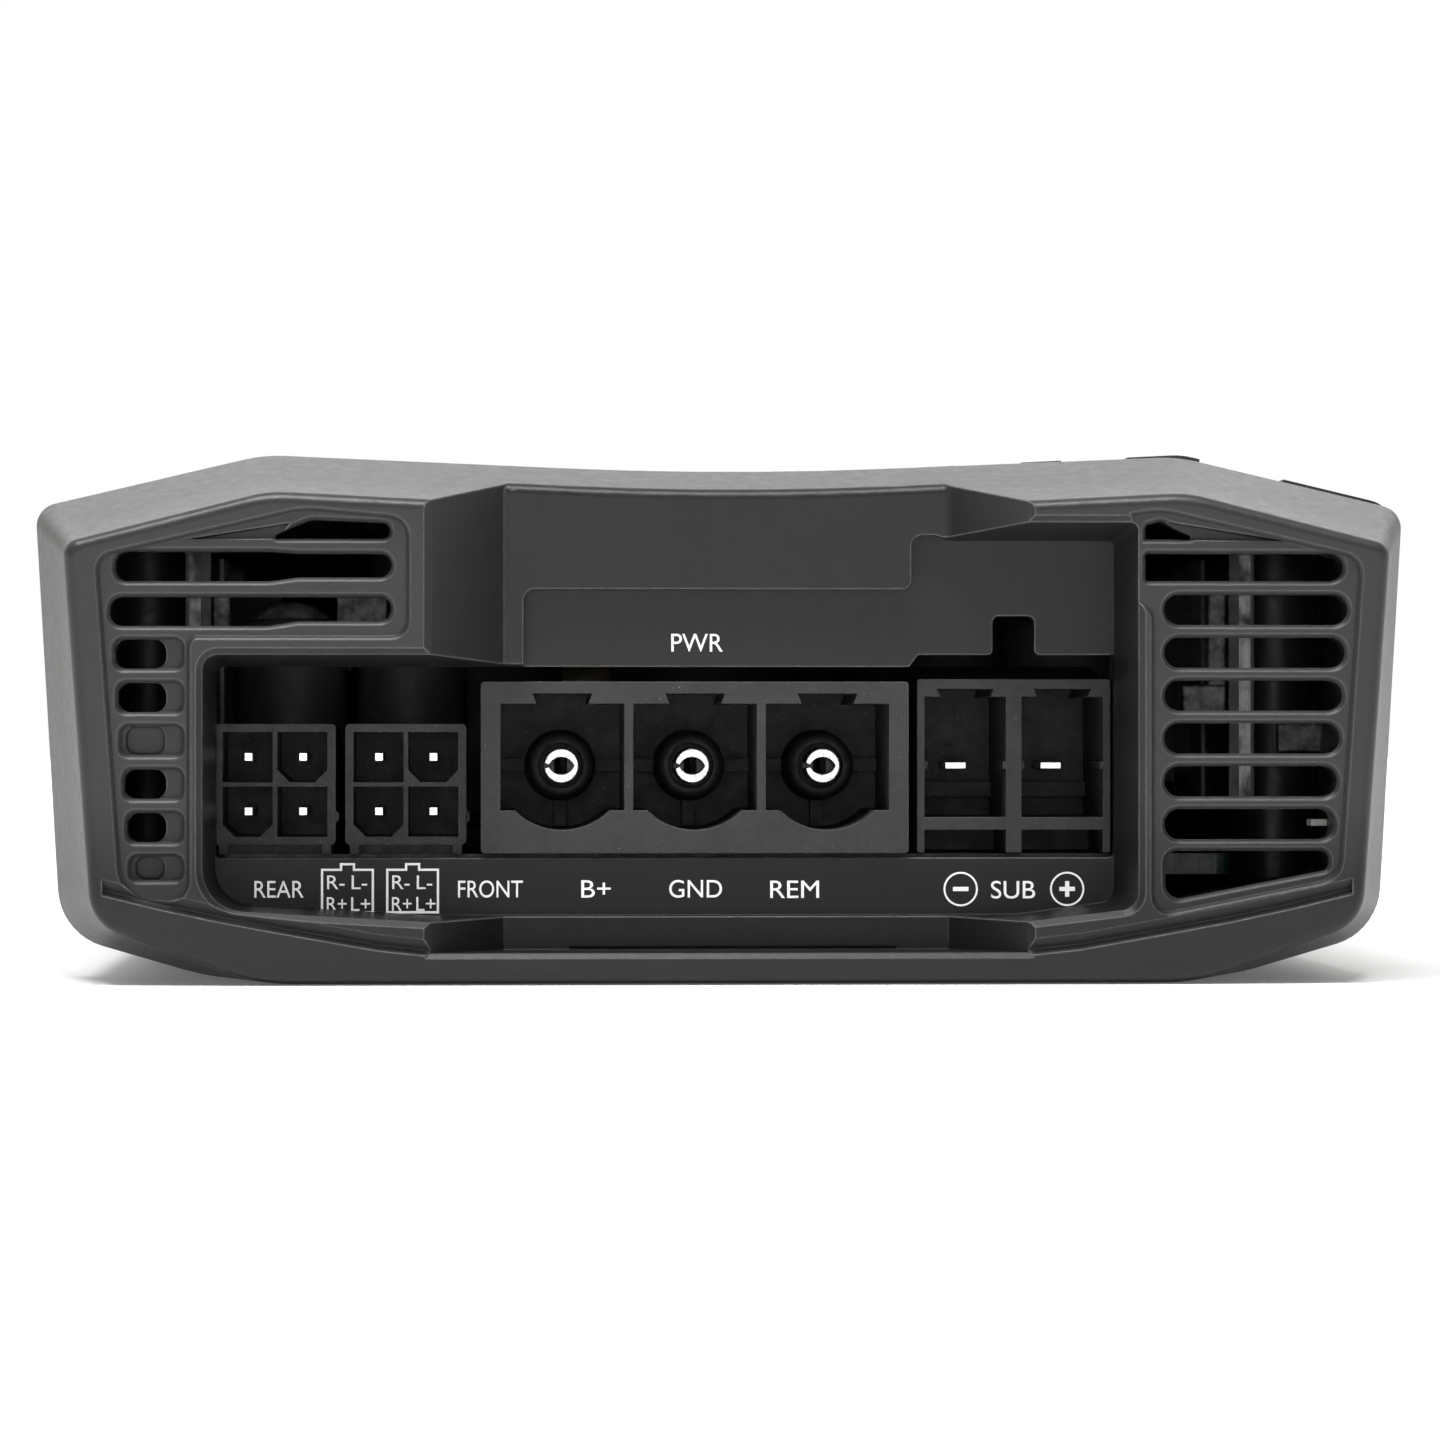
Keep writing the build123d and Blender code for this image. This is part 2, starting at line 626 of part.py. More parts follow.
with BuildPart() as heatsink_body:
    run_body(BODY_SECTION, Mode.ADD)
    run_body(BODY_CAVITY + flipped(BODY_CAVITY), Mode.SUBTRACT)
    rebate_x = COVER_HALF_WIDTH + GAP
    run_body(box_corners(-rebate_x, rebate_x, -1, COVER_THICKNESS + 0.05), Mode.SUBTRACT)
    for corners in (SHOULDER_GROOVE, flipped(SHOULDER_GROOVE)):
        run_body(corners, Mode.SUBTRACT)
    for i in range(TOP_FIN_COUNT):
        x = (i - (TOP_FIN_COUNT - 1) / 2) * TOP_FIN_PITCH
        floor = TOP_GROOVE_FLOOR + 1.1 * (x / 33) ** 2
        half = TOP_GROOVE_WIDTH / 2
        run_body(box_corners(x - half, x + half, floor, 45, 0.4), Mode.SUBTRACT)
    for low in SIDE_GROOVES:
        for side, floor_x in ((-1, 49.8), (1, 50.5)):
            floor = floor_x + (low - SIDE_GROOVES[0]) * SIDE_LEAN
            groove = box_corners(floor, 56, low, low + SIDE_GROOVE_WIDTH)
            run_body([(side * x, z, 0.3) for x, z, _ in groove], Mode.SUBTRACT)
    for side in (-1, 1):
        run_body(box_corners(side * RIB_INNER, side * RIB_OUTER, 13.0, CAVITY_TOP + 0.4), Mode.ADD)
    for low, radius in ((MOUNT_POST_LOW, MOUNT_POST_R), (MOUNT_CUP_LOW, MOUNT_CUP_R)):
        with BuildSketch(Plane.XY.offset(low)) as posts:
            with Locations(*MOUNT_PLACES):
                Circle(radius)
        extrude(posts.sketch, amount=MOUNT_POST_TOP - low)
    with BuildSketch(Plane.XY) as mount_holes:
        with Locations(*MOUNT_PLACES):
            Circle(MOUNT_HOLE_R)
    extrude(mount_holes.sketch, amount=45, mode=Mode.SUBTRACT)
    with BuildSketch(Plane.XY.offset(MOUNT_HEAD_SEAT)) as head_seats:
        with Locations(*MOUNT_PLACES):
            Circle(MOUNT_HEAD_R)
    extrude(head_seats.sketch, amount=20, mode=Mode.SUBTRACT)
    with BuildSketch(Plane.XY) as cover_holes:
        with Locations(*COVER_SCREW_PLACES):
            Circle(M3_R + FIT)
    extrude(cover_holes.sketch, amount=4.6, mode=Mode.SUBTRACT)
    for side in (-1, 1):
        with BuildSketch(side_plane(side * (RIB_INNER - 1))) as clamp_holes:
            with Locations(*[(y, CLAMP_Z) for y in CLAMP_SCREW_Y]):
                Circle(CLAMP_SCREW_R + FIT)
        extrude(clamp_holes.sketch, amount=side * 4.5, mode=Mode.SUBTRACT)
save(heatsink_body.part, "heatsink_body")

# ---------------------------------------------------------------- bottom cover and its screws
CAP_SCREW_Y = HALF_LENGTH - TONGUE_SCREW_DEPTH
CAP_SCREW_PLACES = [(x, y) for x in (-TONGUE_X, TONGUE_X) for y in (-CAP_SCREW_Y, CAP_SCREW_Y)]
STANDOFF_X = 27.0
STANDOFF_PLACES = [(x, y) for x in (-STANDOFF_X, STANDOFF_X) for y in (-46.0, 33.0, 68.0)]
STANDOFF_R = 2.75

with BuildPart() as bottom_cover:
    with BuildSketch(Plane.XY):
        RectangleRounded(2 * COVER_HALF_WIDTH, BODY_LENGTH - 0.8, 2)
    extrude(amount=COVER_THICKNESS)
    places = COVER_SCREW_PLACES + CAP_SCREW_PLACES + STANDOFF_PLACES
    with Locations(*[Location((x, y, 0), (180, 0, 0)) for x, y in places]):
        CounterSinkHole(radius=M3_R + 0.2, counter_sink_radius=3.0, depth=COVER_THICKNESS)
save(bottom_cover.part, "bottom_cover")


UPWARDS = (Align.CENTER, Align.CENTER, Align.MIN)
DOWNWARDS = (Align.CENTER, Align.CENTER, Align.MAX)


def countersunk_screws(places, tip_z):
    """Flat-headed screws that go up into the amplifier from below."""
    with BuildPart() as screws:
        with Locations(*[(x, y, 0.1) for x, y in places]):
            Cone(bottom_radius=M3_HEAD_R, top_radius=M3_R, height=1.3, align=UPWARDS)
            Cylinder(radius=M3_R, height=tip_z - 0.1, align=UPWARDS)
            with BuildSketch():
                RegularPolygon(radius=1.15, side_count=6)
        extrude(amount=0.8, mode=Mode.SUBTRACT)
    return screws.part


save(countersunk_screws(COVER_SCREW_PLACES, 4.0), "bottom_cover_screws")
save(countersunk_screws(CAP_SCREW_PLACES, 4.8), "end_cap_screws")
save(countersunk_screws(STANDOFF_PLACES, 4.2), "standoff_screws")

# ---------------------------------------------------------------- power header
POWER_CELLS = [POWER_CENTRE_X + i * POWER_PITCH for i in (-1, 0, 1)]
POWER_BODY_X = 16.4
POWER_BODY_Z = (9.73, 22.87)
POWER_BOSS_R = 2.6
POWER_BOSS_BORE_R = 1.75
POWER_BOSS_FRONT = 17.0
POWER_LEG_DEPTH = POWER_RIM + POWER_DEPTH + 0.9
LEG_TIP_Z = 6.4

with BuildPart() as power_header_housing:
    left = POWER_CENTRE_X - POWER_BODY_X
    right = POWER_CENTRE_X + POWER_BODY_X
    body = box_corners(left, right, *POWER_BODY_Z, 0.3)
    run_outline(1, POWER_RIM, POWER_RIM + POWER_DEPTH, body, mode=Mode.ADD)
    for x in POWER_CELLS:
        with BuildSketch(end_plane(1, POWER_RIM)) as cell:
            with BuildLine() as cell_edge:
                ThreePointArc((x - 3.63, 13.0), (x, 11.5), (x + 3.63, 13.0))
                Polyline((x + 3.63, 13.0), (x + 4.75, 13.0), (x + 4.75, 21.2), (x + 2.0, 21.2))
                Polyline((x + 2.0, 21.2), (x + 2.3, 21.98), (x - 2.3, 21.98), (x - 2.0, 21.2))
                Polyline((x - 2.0, 21.2), (x - 4.75, 21.2), (x - 4.75, 13.0), (x - 3.63, 13.0))
            make_face(cell_edge.edges())
        extrude(cell.sketch, amount=-POWER_CELL_BACK, mode=Mode.SUBTRACT)
        back = POWER_RIM + POWER_CELL_BACK
        with BuildSketch(end_plane(1, POWER_BOSS_FRONT)) as boss:
            with Locations((x, POWER_PIN_Z)):
                Circle(POWER_BOSS_R)
        extrude(boss.sketch, amount=-(back - POWER_BOSS_FRONT), taper=-2)
        run_outline(1, back - 1.2, back, box_corners(x - 4.75, x + 4.75, 15.9, 16.9), mode=Mode.ADD)
        run_outline(1, back - 1.2, back, box_corners(x - 0.5, x + 0.5, 11.6, 15.9), mode=Mode.ADD)
    boss_rims = [rim for rim in edges().filter_by(GeomType.CIRCLE) if abs(rim.radius - POWER_BOSS_R) < FIT]
    fillet(boss_rims, radius=0.7)
    pin_places = [(x, POWER_PIN_Z) for x in POWER_CELLS]
    cut_round_hole(1, POWER_BOSS_FRONT - 1, 40, pin_places, POWER_PIN_R + FIT)
    cut_round_hole(1, POWER_BOSS_FRONT - 1, POWER_BOSS_FRONT + 1.2, pin_places, POWER_BOSS_BORE_R)
save(power_header_housing.part, "power_header_housing")

# the split tip of a power pin: its pointed hole, the slit that opens it on the left, the ridge inside
POWER_PIN_EDGE = 0.07
EYE_HALF_WIDTH = 1.02
EYE_HALF_HEIGHT = 0.7
EYE_DEPTH = 4.0
SLIT = [(-1.5, -0.32), (-0.95, -0.1), (-0.95, 0.1), (-1.5, 0.32)]
RIDGE_HALF_WIDTH = 0.55
RIDGE_HALF_HEIGHT = 0.6
RIDGE_LENGTH = 1.2

with BuildPart() as power_pins:
    for x in POWER_CELLS:
        tip = POWER_RIM + POWER_PIN_TIP
        eye_end = tip + EYE_DEPTH
        with BuildSketch(end_plane(1, tip)) as pin:
            with Locations((x, POWER_PIN_Z)):
                Circle(POWER_PIN_R)
        extrude(pin.sketch, amount=-(POWER_LEG_DEPTH - tip))
        with BuildSketch(end_plane(1, tip)) as eye:
            with BuildLine() as eye_edge:
                left = (x - EYE_HALF_WIDTH, POWER_PIN_Z)
                right = (x + EYE_HALF_WIDTH, POWER_PIN_Z)
                ThreePointArc(left, (x, POWER_PIN_Z + EYE_HALF_HEIGHT), right)
                ThreePointArc(right, (x, POWER_PIN_Z - EYE_HALF_HEIGHT), left)
            make_face(eye_edge.edges())
        extrude(eye.sketch, amount=-EYE_DEPTH, mode=Mode.SUBTRACT)
        run_outline(1, tip, eye_end, [(x + slit_x, POWER_PIN_Z + slit_z, 0) for slit_x, slit_z in SLIT])
        with BuildSketch(Plane.XY.offset(POWER_PIN_Z - RIDGE_HALF_HEIGHT)) as ridge:
            root_y = front_y(eye_end + 0.1)
            crest = (x, root_y - RIDGE_LENGTH)
            closed_outline([(x - RIDGE_HALF_WIDTH, root_y), crest, (x + RIDGE_HALF_WIDTH, root_y)])
        extrude(ridge.sketch, amount=2 * RIDGE_HALF_HEIGHT)
        leg = box_corners(x - POWER_PIN_R, x + POWER_PIN_R, LEG_TIP_Z, POWER_PIN_Z + POWER_PIN_R)
        run_outline(1, POWER_LEG_DEPTH - 0.6, POWER_LEG_DEPTH + 0.6, leg, mode=Mode.ADD)
    tip_edges = edges().filter_by(GeomType.CIRCLE).group_by(Axis.Y)[0]
    chamfer([rim for rim in tip_edges if abs(rim.radius - POWER_PIN_R) < FIT], length=POWER_PIN_EDGE)
save(power_pins.part, "power_pins")

# ---------------------------------------------------------------- speaker headers
SPEAKER_ROWS = (SPEAKER_CENTRE_Z - SPEAKER_PITCH / 2, SPEAKER_CENTRE_Z + SPEAKER_PITCH / 2)
SPEAKER_LEG_DEPTHS = (SPEAKER_RIM + SPEAKER_DEPTH + 0.7, SPEAKER_RIM + SPEAKER_DEPTH + 3.2)
SPEAKER_KEY = 0.95
SPEAKER_PIN_TAPER = 0.02
PIN_POINT = 0.5              # length of the tapered point of a pin or blade


def speaker_housing(centre_x):
    """Two-by-two plug socket with two keyed cells and four small feet."""
    half = SPEAKER_BODY / 2
    cell = SPEAKER_CELL / 2
    with BuildPart() as housing:
        height = (SPEAKER_CENTRE_Z - half, SPEAKER_CENTRE_Z + half)
        body = box_corners(centre_x - half, centre_x + half, *height, 0.35)
        run_outline(1, SPEAKER_RIM, SPEAKER_RIM + SPEAKER_DEPTH, body, mode=Mode.ADD)
        for row, z in enumerate(SPEAKER_ROWS):
            for side in (-1, 1):
                x = centre_x + side * SPEAKER_PITCH / 2
                corners = box_corners(x - cell, x + cell, z - cell, z + cell)
                if (row, side) in ((0, -1), (1, 1)):
                    corners[0:2] = [
                        (x - cell, z - cell + SPEAKER_KEY, 0),
                        (x - cell + SPEAKER_KEY, z - cell, 0),
                        (x + cell - SPEAKER_KEY, z - cell, 0),
                        (x + cell, z - cell + SPEAKER_KEY, 0),
                    ]
                run_outline(1, SPEAKER_RIM, SPEAKER_RIM + SPEAKER_CELL_BACK, corners)
                hole = SPEAKER_PIN / 2 + FIT
                bore = box_corners(x - hole, x + hole, z - hole, z + hole)
                run_outline(1, SPEAKER_RIM + 1, SPEAKER_RIM + SPEAKER_DEPTH, bore)
        for x in (centre_x - half + 0.7, centre_x + half - 0.7):
            foot = box_corners(x - 0.35, x + 0.35, BOARD_TOP, SPEAKER_CENTRE_Z - half + 0.1)
            run_outline(1, SPEAKER_RIM, SPEAKER_RIM + 1.2, foot, mode=Mode.ADD)
            run_outline(1, SPEAKER_RIM + 9, SPEAKER_RIM + 11, foot, mode=Mode.ADD)
        skirt = box_corners(centre_x - half + 0.4, centre_x + half - 0.4, BOARD_TOP, height[0] + 0.1)
        run_outline(1, SPEAKER_RIM + 1.4, SPEAKER_RIM + 2.4, skirt, mode=Mode.ADD)
        root_x = centre_x + half - 0.1
        nub_x = root_x + 0.35
        nub = [(root_x, 11.9, 0), (nub_x, 12.25, 0.1), (nub_x, 12.75, 0.1), (root_x, 13.1, 0)]
        run_outline(1, SPEAKER_RIM + 0.3, SPEAKER_RIM + 6, nub, mode=Mode.ADD)
    return housing.part


def speaker_pins(centre_x):
    """Four square pins, each bent down through the board."""
    half = SPEAKER_PIN / 2
    tip = SPEAKER_RIM + SPEAKER_PIN_TIP
    with BuildPart() as pins:
        for z, leg_depth in zip(SPEAKER_ROWS, SPEAKER_LEG_DEPTHS):
            for side in (-1, 1):
                x = centre_x + side * SPEAKER_PITCH / 2
                nose = half - SPEAKER_PIN_TAPER
                shank = box_corners(x - half, x + half, z - half, z + half)
                point = box_corners(x - nose, x + nose, z - nose, z + nose)
                run_tapered(1, tip, tip + PIN_POINT, point, shank, mode=Mode.ADD)
                run_outline(1, tip + PIN_POINT, leg_depth + half, shank, mode=Mode.ADD)
                leg = box_corners(x - half, x + half, LEG_TIP_Z, z)
                run_outline(1, leg_depth - half, leg_depth + half, leg, mode=Mode.ADD)
    return pins.part


save(speaker_housing(REAR_X), "rear_speaker_header_housing")
save(speaker_pins(REAR_X), "rear_speaker_pins")
save(speaker_housing(FRONT_X), "front_speaker_header_housing")
save(speaker_pins(FRONT_X), "front_speaker_pins")

# ---------------------------------------------------------------- sub header
SUB_CELLS = (SUB_CENTRE_X - SUB_PITCH / 2, SUB_CENTRE_X + SUB_PITCH / 2)
SUB_LEG_DEPTH = SUB_RIM + SUB_DEPTH + 0.6
SUB_HALF_WIDTH = 7.45
SUB_CELL_HALF = 3.15
SUB_TOP = 23.08
SUB_LOW = 9.75
SUB_RAMP_DEPTH = 12.0
BLADE_HALF_WIDTH = 0.82
BLADE_HALF_HEIGHT = 0.26
BLADE_TAPER = 0.02

with BuildPart() as sub_header_housing:
    left = SUB_CENTRE_X - SUB_HALF_WIDTH
    right = SUB_CENTRE_X + SUB_HALF_WIDTH
    body = box_corners(left, right, SUB_LOW, SUB_TOP, 0.2)
    run_outline(1, SUB_RIM, SUB_RIM + SUB_DEPTH, body, mode=Mode.ADD)
    rim_y = front_y(SUB_RIM)
    with BuildSketch(side_plane(left + 0.3)) as ramp:
        slope = [(rim_y + 0.2, SUB_TOP - 0.1), (rim_y + SUB_RAMP_DEPTH, SUB_TOP + 1.1)]
        closed_outline(slope + [(rim_y + SUB_DEPTH, SUB_TOP + 1.1), (rim_y + SUB_DEPTH, SUB_TOP - 0.1)])
    extrude(ramp.sketch, amount=2 * SUB_HALF_WIDTH - 0.6)
    for x in SUB_CELLS:
        width = (x - SUB_CELL_HALF, x + SUB_CELL_HALF)
        run_outline(1, SUB_RIM, SUB_RIM + SUB_CELL_BACK, box_corners(*width, 12.45, 21.75))
        notch = [(x - 1.9, 21.6, 0), (x + 1.9, 21.6, 0), (x + 2.2, 22.35, 0), (x - 2.2, 22.35, 0)]
        run_outline(1, SUB_RIM, SUB_RIM + SUB_CELL_BACK, notch)
        run_outline(1, SUB_RIM, SUB_RIM + 10, box_corners(*width, SUB_LOW - 1, 11.5))
        for wall in (-1, 1):
            nub_x = x + wall * SUB_CELL_HALF
            nub = box_corners(nub_x - 0.22, nub_x + 0.22, 16.2, 16.75)
            run_outline(1, SUB_RIM + 0.2, SUB_RIM + 8, nub, mode=Mode.ADD)
        back = SUB_RIM + SUB_CELL_BACK
        run_outline(1, back - 1.5, back, box_corners(*width, 13.9, 15.1), mode=Mode.ADD)
        half_width = BLADE_HALF_WIDTH + FIT
        half_height = BLADE_HALF_HEIGHT + FIT
        slot = box_corners(x - half_width, x + half_width, SUB_PIN_Z - half_height, SUB_PIN_Z + half_height)
        run_outline(1, SUB_RIM + 10, SUB_RIM + SUB_DEPTH, slot)
save(sub_header_housing.part, "sub_header_housing")

with BuildPart() as sub_blades:
    tip = SUB_RIM + SUB_PIN_TIP
    for x in SUB_CELLS:
        low = SUB_PIN_Z - BLADE_HALF_HEIGHT
        high = SUB_PIN_Z + BLADE_HALF_HEIGHT
        blade = box_corners(x - BLADE_HALF_WIDTH, x + BLADE_HALF_WIDTH, low, high)
        point = grown(blade, -BLADE_TAPER)
        run_tapered(1, tip, tip + PIN_POINT, point, blade, mode=Mode.ADD)
        run_outline(1, tip + PIN_POINT, SUB_LEG_DEPTH + 0.3, blade, mode=Mode.ADD)
        leg = box_corners(x - BLADE_HALF_WIDTH, x + BLADE_HALF_WIDTH, LEG_TIP_Z, SUB_PIN_Z)
        run_outline(1, SUB_LEG_DEPTH - 0.3, SUB_LEG_DEPTH + 0.3, leg, mode=Mode.ADD)
save(sub_blades.part, "sub_blades")

# ---------------------------------------------------------------- main board, standoffs and board screws
BOARD_REAR_Y = 90.4


def leg_holes():
    """Places, width and length of the holes that the headers' legs pass through."""
    power = [(x, front_y(POWER_LEG_DEPTH)) for x in POWER_CELLS]
    sub = [(x, front_y(SUB_LEG_DEPTH)) for x in SUB_CELLS]
    speaker_x = [x + side * SPEAKER_PITCH / 2 for x in (REAR_X, FRONT_X) for side in (-1, 1)]
    speaker = [(x, front_y(depth)) for x in speaker_x for depth in SPEAKER_LEG_DEPTHS]
    return [(power, 3.0, 1.6), (sub, 2.0, 1.0), (speaker, 1.0, 1.0)]


with BuildPart() as main_board:
    with BuildSketch(Plane.XY.offset(BOARD_BOTTOM)):
        with Locations((0, (front_y(BOARD_START) + BOARD_REAR_Y) / 2)):
            RectangleRounded(2 * BOARD_HALF_WIDTH, BOARD_REAR_Y - front_y(BOARD_START), 1.5)
        with Locations(*STANDOFF_PLACES):
            Circle(M3_R + 0.15, mode=Mode.SUBTRACT)
        for places, width, length in leg_holes():
            with Locations(*places):
                Rectangle(width, length, mode=Mode.SUBTRACT)
    extrude(amount=BOARD_THICKNESS)
save(main_board.part, "main_board")

with BuildPart() as board_standoffs:
    with BuildSketch(Plane.XY.offset(COVER_THICKNESS)):
        with Locations(*STANDOFF_PLACES):
            RegularPolygon(radius=STANDOFF_R, side_count=6)
            Circle(M3_R + FIT, mode=Mode.SUBTRACT)
    extrude(amount=BOARD_BOTTOM - COVER_THICKNESS)
save(board_standoffs.part, "board_standoffs")

with BuildPart() as board_screws:
    with Locations(*[(x, y, BOARD_TOP) for x, y in STANDOFF_PLACES]):
        Cylinder(radius=M3_HEAD_R, height=1.9, align=UPWARDS)
        Cylinder(radius=M3_R, height=4.6, align=DOWNWARDS)
        with Locations((0, 0, 1.1)):
            Cylinder(radius=1.25, height=1, align=UPWARDS, mode=Mode.SUBTRACT)
    chamfer(edges().filter_by(GeomType.CIRCLE).group_by(Axis.Z)[-1], length=0.25)
save(board_screws.part, "board_screws")

# ---------------------------------------------------------------- power transistors, pads, clamp bars
TRANSISTOR_Y = [TRANSISTOR_FIRST_Y + TRANSISTOR_PITCH * i for i in range(TRANSISTOR_COUNT)]
TRANSISTOR_HALF_WIDTH = 5.2
PAD_FACE = RIB_INNER - PAD_THICKNESS
TRANSISTOR_FACE = PAD_FACE - TRANSISTOR_THICKNESS
CLAMP_FACE = TRANSISTOR_FACE - CLAMP_THICKNESS


def transistor_row(side):
    """Row of transistors that stand on three legs each, their backs to a heat spreader rib."""
    with BuildPart() as row:
        for y in TRANSISTOR_Y:
            with BuildSketch(side_plane(side * TRANSISTOR_FACE)) as body:
                with Locations((y, TRANSISTOR_BOTTOM + TRANSISTOR_HEIGHT / 2)):
                    Rectangle(2 * TRANSISTOR_HALF_WIDTH, TRANSISTOR_HEIGHT)
            extrude(body.sketch, amount=side * (TRANSISTOR_THICKNESS - 1.3))
            with BuildSketch(side_plane(side * (PAD_FACE - 1.3))) as tab:
                with Locations((y, TRANSISTOR_BOTTOM + TRANSISTOR_HEIGHT / 2 + 1.5)):
                    RectangleRounded(2 * TRANSISTOR_HALF_WIDTH - 0.4, TRANSISTOR_HEIGHT + 2, 0.8)
            extrude(tab.sketch, amount=side * 1.3)
            with BuildSketch(side_plane(side * (PAD_FACE - 2.6))) as legs:
                for offset in (-2.54, 0, 2.54):
                    with Locations((y + offset, (TRANSISTOR_BOTTOM + BOARD_TOP) / 2)):
                        Rectangle(1.0, TRANSISTOR_BOTTOM - BOARD_TOP)
            extrude(legs.sketch, amount=side * 0.6)
    return row.part


def thermal_pad(side):
    """Insulating strip between the transistors and the rib."""
    with BuildPart() as pad:
        with BuildSketch(side_plane(side * PAD_FACE)) as strip:
            with Locations((0, 23.4)):
                Rectangle(2 * (HALF_LENGTH - 28), 19)
            with Locations(*[(y, CLAMP_Z) for y in CLAMP_SCREW_Y]):
                Circle(1.8, mode=Mode.SUBTRACT)
        extrude(strip.sketch, amount=side * PAD_THICKNESS)
    return pad.part


def clamp_bar(side):
    """Steel strip that presses the transistors against the rib."""
    with BuildPart() as bar:
        low_y = TRANSISTOR_Y[0] - 4.0
        high_y = TRANSISTOR_Y[-1] + 4.0
        with BuildSketch(side_plane(side * CLAMP_FACE)) as strip:
            with Locations(((low_y + high_y) / 2, CLAMP_Z)):
                RectangleRounded(high_y - low_y, 7.0, 1.0)
            with Locations(*[(y, CLAMP_Z) for y in CLAMP_SCREW_Y]):
                Circle(1.8, mode=Mode.SUBTRACT)
        extrude(strip.sketch, amount=side * CLAMP_THICKNESS)
    return bar.part


save(transistor_row(-1), "left_power_transistors")
save(transistor_row(1), "right_power_transistors")
save(thermal_pad(-1), "left_thermal_pad")
save(thermal_pad(1), "right_thermal_pad")
save(clamp_bar(-1), "left_clamp_bar")
save(clamp_bar(1), "right_clamp_bar")

with BuildPart() as clamp_screws:
    for side in (-1, 1):
        places = [(y, CLAMP_Z) for y in CLAMP_SCREW_Y]
        with BuildSketch(side_plane(side * CLAMP_FACE)) as heads:
            with Locations(*places):
                Circle(M3_HEAD_R)
        extrude(heads.sketch, amount=-side * 1.9)
        with BuildSketch(side_plane(side * (CLAMP_FACE - 1.9))) as sockets:
            with Locations(*places):
                RegularPolygon(radius=1.3, side_count=6)
        extrude(sockets.sketch, amount=side * 1.0, mode=Mode.SUBTRACT)
        with BuildSketch(side_plane(side * CLAMP_FACE)) as shafts:
            with Locations(*places):
                Circle(CLAMP_SCREW_R)
        extrude(shafts.sketch, amount=side * (RIB_OUTER - CLAMP_FACE))
save(clamp_screws.part, "clamp_screws")

# ---------------------------------------------------------------- capacitors
SUPPLY_CAPACITORS = [(-20.0, -56.0), (0.0, -56.0), (20.0, -56.0)]
FILTER_CAPACITORS = [(-34.0, -69.8), (-24.3, -70.0), (28.0, -67.0)]
OUTPUT_CAPACITORS = [(x, 46.0) for x in (-24.0, -12.0, 0.0, 12.0, 24.0)]


def capacitors(places, radius, height):
    """Round capacitors with a rolled groove near the base and a domed, scored top."""
    profile_z = BOARD_TOP
    with BuildPart() as cans:
        for x, y in places:
            with BuildSketch(Plane.XZ.offset(-y)) as half_section:
                with BuildLine() as edge_line:
                    Polyline((x, profile_z), (x + radius, profile_z), (x + radius, profile_z + 1.6))
                    ThreePointArc(
                        (x + radius, profile_z + 1.6),
                        (x + radius - 0.5, profile_z + 2.2),
                        (x + radius, profile_z + 2.8),
                    )
                    Polyline((x + radius, profile_z + 2.8), (x + radius, profile_z + height - 0.6))
                    ThreePointArc(
                        (x + radius, profile_z + height - 0.6),
                        (x + radius - 0.18, profile_z + height - 0.18),
                        (x + radius - 0.6, profile_z + height),
                    )
                    Polyline(
                        (x + radius - 0.6, profile_z + height),
                        (x + radius - 1.1, profile_z + height - 0.35),
                        (x, profile_z + height - 0.35),
                        (x, profile_z),
                    )
                make_face(edge_line.edges())
            revolve(half_section.sketch, axis=Axis((x, y, 0), (0, 0, 1)))
    return cans.part


save(capacitors(SUPPLY_CAPACITORS, 8.0, 24.5), "supply_capacitors")
save(capacitors(FILTER_CAPACITORS, 4.4, 18.5), "filter_capacitors")
save(capacitors(OUTPUT_CAPACITORS, 4.0, 14.0), "output_capacitors")

# ---------------------------------------------------------------- transformer, choke, output inductors
TRANSFORMER_X = -12.0
TRANSFORMER_Y = -26.0
TRANSFORMER_HALF = (16.0, 12.0)
TRANSFORMER_Z = (BOARD_TOP + 0.3, 31.5)
CORE_LEG = 4.5

with BuildPart() as transformer_core:
    low_z, high_z = TRANSFORMER_Z
    plane = Plane.XZ.offset(-TRANSFORMER_Y)
    with BuildSketch(plane) as frame_face:
        with Locations((TRANSFORMER_X, (low_z + high_z) / 2)):
            RectangleRounded(2 * TRANSFORMER_HALF[0], high_z - low_z, 0.8)
        window_width = TRANSFORMER_HALF[0] - CORE_LEG - 3.5
        for side in (-1, 1):
            with Locations((TRANSFORMER_X + side * (3.5 + window_width / 2), (low_z + high_z) / 2)):
                Rectangle(window_width, high_z - low_z - 2 * CORE_LEG, mode=Mode.SUBTRACT)
    extrude(frame_face.sketch, amount=5.0, both=True)
save(transformer_core.part, "transformer_core")

with BuildPart() as transformer_winding:
    mid_z = (low_z + high_z) / 2
    coil_height = high_z - low_z - 2 * CORE_LEG - 0.4
    with BuildSketch(Plane.XY.offset(mid_z - coil_height / 2)) as coil:
        with Locations((TRANSFORMER_X, TRANSFORMER_Y)):
            RectangleRounded(2 * (3.5 + window_width) - 0.5, 2 * TRANSFORMER_HALF[1], 4.0)
            Rectangle(7.4, 10.4, mode=Mode.SUBTRACT)
    extrude(coil.sketch, amount=coil_height)
save(transformer_winding.part, "transformer_winding")

CHOKE_PLACE = (17.0, -25.0)
CHOKE_R = 11.0
CHOKE_HOLE_R = 4.6
CHOKE_Z = 17.0
CHOKE_TUBE = (CHOKE_R - CHOKE_HOLE_R) / 2
CHOKE_TURNS = 20

